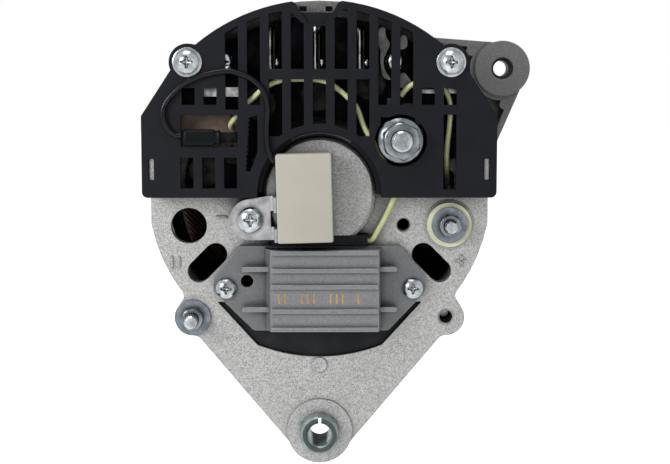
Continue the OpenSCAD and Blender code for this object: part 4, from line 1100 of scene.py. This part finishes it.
@dataclass
class Regulator:
    """The finned regulator with its screws, print, brush holder, brushes and springs."""

    screw_x: float = 36.3
    screw_y: float = -37.6
    seat: float = 4.0
    screw: PanScrew = PanScrew(head_r=4.0, head_h=2.7, shank_r=2.0, tip_r=1.7, foot=-4.6)
    spring_wire: float = 0.3
    spring_turns: int = 5
    print_y: float = -40.6
    print_z: float = 12.0
    pitch: float = 2.35
    tick_w: float = 0.8
    tick_half_h: float = 1.9
    groups: tuple[tuple[float, int], ...] = ((-15.9, 2), (-7.2, 3), (3.9, 3), (14.6, 1))

    def springs(self) -> None:
        """Winds each brush spring in its node's box.

        A point is (x + R cos a, low + rise t, z + R sin a), with a = turns of t, and t from 0 to 1.
        """
        wire = self.spring_wire
        t = np.linspace(0, 1, self.spring_turns * 24 + 1)
        a = TURN * self.spring_turns * t
        for brush in ("inner_brush", "outer_brush"):
            low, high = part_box(f"{brush}_spring")
            x, z = (low.x + high.x) / 2 / MM, (BENCH.rear_face - (low.y + high.y) / 2) / MM
            foot, head = ((corner.z - BENCH.shaft_up) / MM for corner in (low, high))
            coil = (high.x - low.x) / 2 / MM - wire
            up = foot + wire + (head - foot - 2 * wire) * t
            path = np.stack([x + coil * np.cos(a), up, z + coil * np.sin(a)], axis=-1)
            coils = make(f"{brush}_coil", tube(path, wire, 12), Paint.ZINC,
                         replaces=[f"{brush}_spring"])
            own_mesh(coils)

    def ticks(self) -> None:
        """Prints groups of plain upright ochre ticks between two fins, as a film 0.04 mm thick."""
        low, high = self.print_z - 0.02, self.print_z + 0.04
        bottom, top = self.print_y - self.tick_half_h, self.print_y + self.tick_half_h
        lefts = [start + self.pitch * i for start, count in self.groups for i in range(count)]
        films = [soft_block((x, bottom, low), (x + self.tick_w, top, high), 0.2, 0.02, 2) for x in lefts]
        make("ochre_print_ticks", joined(films), Paint.OCHRE)

    def build(self) -> None:
        """Dresses the regulator, its holder and its brushes, and makes the springs, screws and print."""
        dress(Paint.REGULATOR, "regulator_body")
        dress(Paint.HOLDER, "brush_holder")
        dress(Paint.CARBON, "inner_brush", "outer_brush")
        self.springs()
        places = [(-self.screw_x, self.screw_y), (self.screw_x, self.screw_y)]
        self.screw.placed("regulator_screw_pair", places, self.seat, "regulator_screws")
        self.ticks()


@dataclass
class Capacitor:
    """The interference capacitor with its strap, its screw, its lead and the sleeved connector."""

    middle: Pair = (-5.6, -1.3)
    half: Pair = (10.5, 16.75)
    depths: Pair = (10.5, 21.5)
    tilt: float = 1.5
    screw_at: Pair = (-26.4, -10.2)
    strap_top: float = 10.4
    screw: PanScrew = PanScrew(head_r=4.9, head_h=3.1, shank_r=2.5, tip_r=2.1, foot=-3.0)
    wire_d: float = 2.1
    route: tuple[Triple, ...] = (
        (-16.68, 12.72, 15.5), (-17.6, 12.8, 15.5), (-18.7, 15.1, 15.5), (-19.7, 18.8, 15.5),
        (-19.9, 25, 15.4), (-19.5, 32.5, 15.4), (-21, 38.6, 15.4), (-25.3, 43.3, 15.4), (-30.5, 45.6, 15.4),
        (-34.8, 46.4, 15.4), (-42.4, 45.2, 15.4), (-49.7, 42.2, 15.4), (-55.3, 37.8, 15.4),
        (-58.8, 32.6, 15.4), (-58.6, 27.8, 15.4), (-56.6, 24, 15.3), (-54, 22.3, 15.2), (-52.06, 22.3, 15.2))
    sleeve_low: Triple = (-52.0, 18.3, 11.6)
    sleeve_high: Triple = (-37.4, 24.5, 16.5)

    def sleeve(self) -> bpy.types.Object:
        """The shrunk sleeve: rings of rounded rectangles along x that swell over the terminal inside.

        With t from 0 to 1 along it, the swell is 1 less a bell curve at t = 0.9 and one at t = 0.

        Returns:
            The piece.
        """
        low, high = np.array(self.sleeve_low), np.array(self.sleeve_high)
        middle, half = (low + high) / 2, (high - low) / 2
        t = np.linspace(0, 1, 40)
        swell = 1 - 0.2 * np.exp(-((t - 0.9) / 0.05) ** 2) - 0.28 * np.exp(-(t / 0.05) ** 2)
        ends = np.sqrt(np.clip(1 - ((np.abs(t - 0.5) * 2 - 0.96) / 0.04).clip(0) ** 2 * 0.3, 0, 1))
        folds = (swell - 0.04 * np.cos(t * TURN * 2)).clip(0, 1)
        ring = rounded_rectangle(half[1] * swell * ends, half[2] * folds * ends, 1.3)
        x = low[0] + 2 * half[0] * t
        points = np.stack([x[:, None] + 0 * ring[..., 0], ring[..., 0] + middle[1], ring[..., 1] + middle[2]],
                          axis=-1)
        return make("sleeved_connector", band(points), Paint.SLEEVE,
                    replaces=["lead_connector"])

    def lead(self, sleeve: bpy.types.Object) -> None:
        """Lays the lead along its route and works out its length.

        Args:
            sleeve: The piece at its far end; not used.
        """
        path = catmull(self.route)
        row_path = BENCH.row(path)
        length = float(np.linalg.norm(np.diff(row_path, axis=0), axis=1).sum())
        piece = make("capacitor_flex", tube(path, self.wire_d / 2), Paint.LEAD,
                     replaces=["capacitor_lead"])

    def build(self) -> None:
        """Makes the case, the screw and the lead, and dresses the strap."""
        (w, h), (low, high) = self.half, self.depths
        case = soft_block((-w, -h, low), (w, h, high), 0.8, 0.5).turned(self.tilt).moved((*self.middle, 0))
        make("capacitor_can", case, Paint.CAPACITOR, replaces=["capacitor_case"])
        self.screw.placed("capacitor_pan_screw", [self.screw_at], self.strap_top, "capacitor_screw")
        dress(Paint.STRAP, "capacitor_bracket")
        dress(Paint.SPADE, "spade_terminal")
        self.lead(self.sleeve())


@dataclass
class Rectifier:
    """The heat sinks, diodes, board and leads under the cover."""

    lead_x: Triple = (-18.0, -0.9, 16.0)
    lead_side: tuple[Pair, ...] = (
        (47, 9.6), (53, 9.9), (59, 9.7), (62.4, 8), (62.2, 5), (59, 2.9), (55.8, 0.8), (54.8, -4),
        (54.6, -10.05), (54, -20.1))
    strand: float = 0.82
    solder_at: Triple = (1.9, 49.4, 9.6)
    solder_r: float = 1.35
    screw_at: tuple[Pair, Pair] = ((-36.2, 49.9), (28.8, 50.1))
    sink_top: float = 8.6
    screw: PanScrew = PanScrew(head_r=3.5, head_h=2.2, shank_r=2.0, tip_r=1.7, foot=-5.5)
    regulator_route: tuple[Triple, ...] = (
        (-33.6, 24.8, 6.4), (-33.8, 26, 8.4), (-32.6, 28, 10.1), (-29.5, 31.9, 10.4), (-25.6, 35.8, 10.2),
        (-19.5, 41, 10), (-12, 43.2, 10), (0, 43, 10), (6, 40.4, 10), (13.6, 33.5, 10), (17.3, 24.6, 10),
        (21.7, 17.7, 9.6), (26.2, 9, 7.6), (28.9, 1, 5.2), (28.5, -2.9, 4.4), (26.8, -7.2, 3.6),
        (24.7, -11.5, 3), (22.5, -15.4, 2.7), (21.2, -17.9, 2.6), (20, -19, 2.6), (18.66, -19.1, 2.6))
    lamp_route: tuple[Triple, ...] = (
        (31, 37, 9.8), (34.8, 41, 10), (41, 42.4, 10), (47, 40, 10), (49.8, 34, 10), (49.6, 26, 9.8),
        (48.8, 17, 8.6), (49, 9, 5), (49.8, 4.5, -1), (50.4, -1, -7), (50.6, -8, -7.1))
    wire_d: float = 2.1
    sheet_z: Pair = (8.7, 9.2)
    tabs: tuple[tuple[Pair, ...], ...] = (
        ((23, 62.6), (24.8, 62.6), (25.3, 59.6), (26.8, 56.6), (25.6, 53.6), (24.4, 50.6), (25.0, 46.8),
         (27.2, 43.2), (24.2, 44.5), (23.2, 50.6), (23.2, 54.3), (22, 57.4), (21.9, 59.6)),
        ((30.4, 57.8), (31.4, 59.8), (33.1, 59.2), (33.3, 55.8), (31.6, 54.6), (30.2, 55.2)),
        ((30.6, 45.2), (32.6, 45.6), (35.3, 41.3), (32.2, 40), (29.8, 41)))
    strips: tuple[tuple[float, float, float, float], ...] = (
        (-44.9, -30.6, 36.7, 40.3), (37.9, 44.2, 38, 39.6), (46.6, 52.4, 38, 39.8))

    def leads(self) -> None:
        """Makes the three phase leads, each a tinned and a varnished strand, soldered at the foot.

        The radius is strand * (1 + 0.55 exp(-(u / 0.04)^2) + a ripple), with u from 0 at the foot to 1.
        """
        for name, side, finish in (("tinned_phase_leads", -self.strand, Paint.TINNED),
                                   ("varnished_lead_tails", self.strand, Paint.TAIL)):
            skins = []
            for x in self.lead_x:
                path = catmull([(x + side, y, z) for y, z in self.lead_side])
                along = np.linspace(0, 1, len(path))
                ripple = 0.05 * np.sin(along * 60 + x + side)
                skins.append(tube(path, self.strand * (1 + 0.55 * np.exp(-(along / 0.04) ** 2) + ripple)))
                if finish is Paint.TINNED:
                    skins.append(self.solder(x))
            make(name, joined(skins), finish, replaces=["phase_leads"])

    def solder(self, x: float) -> Skin:
        """A drop of solder beside a phase lead.

        A ring's radius is R (sin b)^0.8 (1 + a ripple of three lobes), 0.8 of it across and 1.3 of it
        up, at the height 1.2 cos b about the drop's middle.

        Args:
            x: Place of the lead.

        Returns:
            The surface.
        """
        across, up, high = self.solder_at
        b = np.linspace(0.02, math.pi - 0.02, 14)[::-1, None]
        a = angles(DROP_RING)[None, :]
        r = self.solder_r * np.sin(b) ** 0.8 * (1 + 0.14 * np.cos(3 * a + x))
        rings = np.stack([x + across + 0.8 * r * np.cos(a), up + 1.3 * r * np.sin(a),
                          high + 1.2 * np.cos(b) + 0 * a], axis=-1)
        return band(rings)

    def wires(self) -> None:
        """Makes the two yellow wires."""
        for name, route, node in (("regulator_feed_wire", self.regulator_route, "regulator_wire"),
                                  ("lamp_feed_wire", self.lamp_route, "d_plus_wire")):
            make(name, tube(catmull(route), self.wire_d / 2), Paint.YELLOW, replaces=[node])

    def bright_sheets(self) -> None:
        """Lays the bare aluminium tabs and brushed strips that show through the cover's slots."""
        low, high = self.sheet_z
        tabs = [plate(outline, low, high) for outline in self.tabs]
        strips = [soft_block((x0, y0, low), (x1, y1, high), 0.2, 0.1, 3) for x0, x1, y0, y1 in self.strips]
        make("sink_tabs", joined(tabs), Paint.TAB)
        make("sink_strips", joined(strips), Paint.BRUSHED)

    def build(self) -> None:
        """Dresses the rectifier's plates and makes its wires, screws and bright sheets."""
        dress(Paint.SINK, "positive_heatsink", "negative_heatsink")
        dress(Paint.SPACER, "heatsink_spacers")
        dress(Paint.DIODE, "power_diodes")
        dress(Paint.CHIP, "exciter_diodes")
        dress(Paint.BOARD, "terminal_board")
        self.leads()
        self.wires()
        self.screw.placed("heatsink_screw_pair", self.screw_at, self.sink_top, "heatsink_screws")
        self.bright_sheets()


@dataclass
class Terminals:
    """The battery and lamp studs with their nuts, and the earth stud."""

    battery_at: Pair = (30.9, 20.2)
    battery_bore: float = 3.72
    battery_nut: Pair = (13.4, 20.6)
    flange: Triple = (8.95, 12.4, 13.3)
    flange_dome: tuple[Pair, Pair, Pair] = ((7.4, 14.3), (6.4, 14.6), (4.3, 14.6))
    lamp_at: Pair = (50.6, -13.1)
    lamp_nut: Pair = (2.8, 7.2)
    earth_at: Pair = (-49.7, -49.7)
    earth_nut: Pair = (1.1, 5.5)
    small_flats: float = 8.0
    small_bore: float = 2.22
    # Each thread's crest, pitch and span
    battery_thread: tuple[float, float, Pair] = (4.05, 1.25, (20.7, 23.0))
    lamp_thread: tuple[float, float, Pair] = (2.55, 0.8, (7.3, 11.4))
    earth_thread: tuple[float, float, Pair] = (2.55, 0.8, (5.6, 12.4))

    def flange_nut(self) -> None:
        """Makes the battery stud's nut: a chamfered hexagon on a dished round flange."""
        r, low, high = self.flange
        bore = self.battery_bore
        dish = lathe([(bore, low + 0.2), (4.0, low), (r - 0.3, low), (r, low + 0.3), (r, high - 0.2),
                      (r - 0.3, high), *self.flange_dome, (bore, 14.4)], FINE_RING, self.battery_at,
                     closed=True)
        hexagonal = hex_nut(self.battery_at, 13, bore, *self.battery_nut, cut=1.2, turned=7)
        make("battery_flange_nut", dish + hexagonal, Paint.NUT, replaces=["b_plus_nut"])

    def small_nuts(self) -> None:
        """Makes the two small nuts, one on the lamp stud's washer and one on the earth stud's."""
        flats, bore = self.small_flats, self.small_bore
        lamp = hex_nut(self.lamp_at, flats, bore, *self.lamp_nut, cut=0.8, turned=20)
        earth = hex_nut(self.earth_at, flats, bore, *self.earth_nut, cut=0.8, turned=40)
        make("small_stud_nuts", lamp + earth, Paint.NUT, replaces=["m5_nuts"])

    def threads(self) -> None:
        """Cuts threads on the free ends of the three studs, as thin skins just over their plain rods."""
        skin = (thread(self.battery_at, *self.battery_thread) + thread(self.lamp_at, *self.lamp_thread)
                + thread(self.earth_at, *self.earth_thread))
        make("stud_threads", skin, Paint.ZINC)

    def build(self) -> None:
        """Dresses the studs and makes the nuts and threads."""
        dress(Paint.ZINC, "b_plus_stud", "d_plus_stud")
        dress(Paint.INSULATOR, "d_plus_insulator")
        self.flange_nut()
        self.small_nuts()
        self.threads()


@dataclass
class Rotor:
    """The claw-pole rotor with its bearings, fan and pulley."""

    thread_r: float = 8.05
    thread_pitch: float = 1.5
    thread_span: Pair = (-141.0, -139.2)

    def build(self) -> None:
        """Dresses everything that turns and the bearings, and cuts the thread on the shaft's end."""
        dress(Paint.MACHINED, "rotor_shaft", "fan_spacer", "pulley_key")
        dress(Paint.FORGED, "front_pole", "rear_pole")
        dress(Paint.RING_COPPER, "slip_rings")
        dress(Paint.PRESSED, "fan", "pulley_rear_half", "pulley_shims", "pulley_front_half",
              "bearing_retainer")
        dress(Paint.ZINC, "pulley_nut", "retainer_screws")
        dress(Paint.GROUND, "front_outer_ring", "front_inner_ring", "front_balls", "rear_outer_ring",
              "rear_inner_ring", "rear_balls")
        dress(Paint.BRASS, "front_ball_cage", "rear_ball_cage")
        dress(Paint.SEAL, "front_seals")
        make("shaft_end_thread", thread((0, 0), self.thread_r, self.thread_pitch, self.thread_span, 64),
             Paint.MACHINED, body="rotor")


@dataclass
class Studio:
    """The camera, the lamps, the world and the pale floor, in row metres."""

    camera_at: Triple = (0.00103, -0.650, 0.1393)
    look_down: float = 6.0
    look_right: float = 0.5
    focal_pixels: float = 1478.0
    image_w: int = 670
    sensor_w: float = 36.0
    floor_z: float = -0.11
    floor_half: float = 6.0
    floor_glow: float = 0.85
    sky_strength: float = 0.3
    lamps: tuple[tuple[str, Triple, float, float], ...] = (
        ("key_lamp", (-0.44, -0.56, 0.3), 0.25, 2.6), ("fill_lamp", (0.75, -1.05, 0.3), 0.8, 0.6),
        ("top_lamp", (-0.15, -0.3, 1.1), 0.6, 4.6))
    lit_point: Triple = (0, -0.03, 0.08)

    def camera(self) -> None:
        """Sets the camera: forward is (sin yaw cos e, cos yaw cos e, -sin e) for the look-down angle e."""
        data = bpy.data.cameras.new("camera")
        data.sensor_width = self.sensor_w
        data.lens = self.focal_pixels * self.sensor_w / self.image_w
        data.clip_start, data.clip_end = 0.01, 100.0
        lens = bpy.data.objects.new("camera", data)
        e, yaw = math.radians(self.look_down), math.radians(self.look_right)
        forward = Vector((math.sin(yaw) * math.cos(e), math.cos(yaw) * math.cos(e), -math.sin(e)))
        lens.location = self.camera_at
        lens.rotation_mode = "QUATERNION"
        lens.rotation_quaternion = forward.to_track_quat("-Z", "Y")
        bpy.context.scene.collection.objects.link(lens)
        bpy.context.scene.camera = lens

    def lamp(self, name: str, at: Triple, size: float, power: float) -> None:
        """Hangs a square soft lamp that faces the alternator.

        Args:
            name: Name of the lamp.
            at: Its place in the row frame.
            size: Its side.
            power: Its power in watts.
        """
        data = bpy.data.lights.new(name, "AREA")
        data.size, data.energy = size, power
        lamp = bpy.data.objects.new(name, data)
        lamp.location = at
        lamp.rotation_mode = "QUATERNION"
        lamp.rotation_quaternion = (Vector(self.lit_point) - Vector(at)).to_track_quat("-Z", "Y")
        bpy.context.scene.collection.objects.link(lamp)

    def seen_white(self, tree: bpy.types.NodeTree) -> Socket:
        """1 for rays of the camera, of reflections and through glass, and 0 for light on surfaces.

        Args:
            tree: The nodes of the world or of a material.

        Returns:
            The value.
        """
        path = tree.nodes.new("ShaderNodeLightPath")
        total = path.outputs["Is Camera Ray"]
        for name in ("Is Glossy Ray", "Is Transmission Ray"):
            larger = tree.nodes.new("ShaderNodeMath")
            larger.operation = "MAXIMUM"
            tree.links.new(total, larger.inputs[0])
            tree.links.new(path.outputs[name], larger.inputs[1])
            total = larger.outputs[0]
        return total

    def world(self) -> None:
        """Lights the set evenly, with white to see behind the alternator."""
        world = bpy.data.worlds.new("studio")
        world.use_nodes = True
        tree = world.node_tree
        tree.nodes.clear()
        soft, seen, mix, output = (tree.nodes.new(kind) for kind in (
            "ShaderNodeBackground", "ShaderNodeBackground", "ShaderNodeMixShader", "ShaderNodeOutputWorld"))
        soft.inputs["Color"].default_value = (0.97, 0.98, 1.0, 1.0)
        soft.inputs["Strength"].default_value = self.sky_strength
        seen.inputs["Color"].default_value = (1.0, 1.0, 1.0, 1.0)
        seen.inputs["Strength"].default_value = 1.0
        tree.links.new(self.seen_white(tree), mix.inputs[0])
        tree.links.new(soft.outputs[0], mix.inputs[1])
        tree.links.new(seen.outputs[0], mix.inputs[2])
        tree.links.new(mix.outputs[0], output.inputs[0])
        bpy.context.scene.world = world

    def floor(self) -> None:
        """Lays a pale floor well below the pivot lug, which the camera sees as white with its shadow."""
        h, z = self.floor_half, self.floor_z
        mesh = bpy.data.meshes.new("studio_floor")
        mesh.from_pydata([(-h, -h, z), (h, -h, z), (h, h, z), (-h, h, z)], [], [(0, 1, 2, 3)])
        floor = bpy.data.objects.new("studio_floor", mesh)
        r = Recipe("studio_floor")
        grain = r.noise(30.0, 3.0)
        r.set(base_color=r.blend(grain, (0.82, 0.82, 0.82), (0.86, 0.86, 0.86)), roughness=0.9,
              emission_color=(1.0, 1.0, 1.0),
              emission_strength=r.between(self.seen_white(r.tree), 0.0, self.floor_glow))
        mesh.materials.append(r.material)
        bpy.context.scene.collection.objects.link(floor)

    def build(self) -> None:
        """Sets up the whole studio."""
        self.camera()
        self.world()
        self.floor()
        for name, at, size, power in self.lamps:
            self.lamp(name, at, size, power)
        bpy.context.scene.view_settings.view_transform = "Standard"


def main() -> None:
    """Builds the studio and every sub-assembly."""
    logging.basicConfig(level=logging.INFO, format="%(name)s: %(message)s")
    for part in (Studio(), Capacitor(), Castings(), Cover(), Regulator(), Rectifier(), Terminals(), Rotor()):
        part.build()


if __name__ == "__main__":
    main()
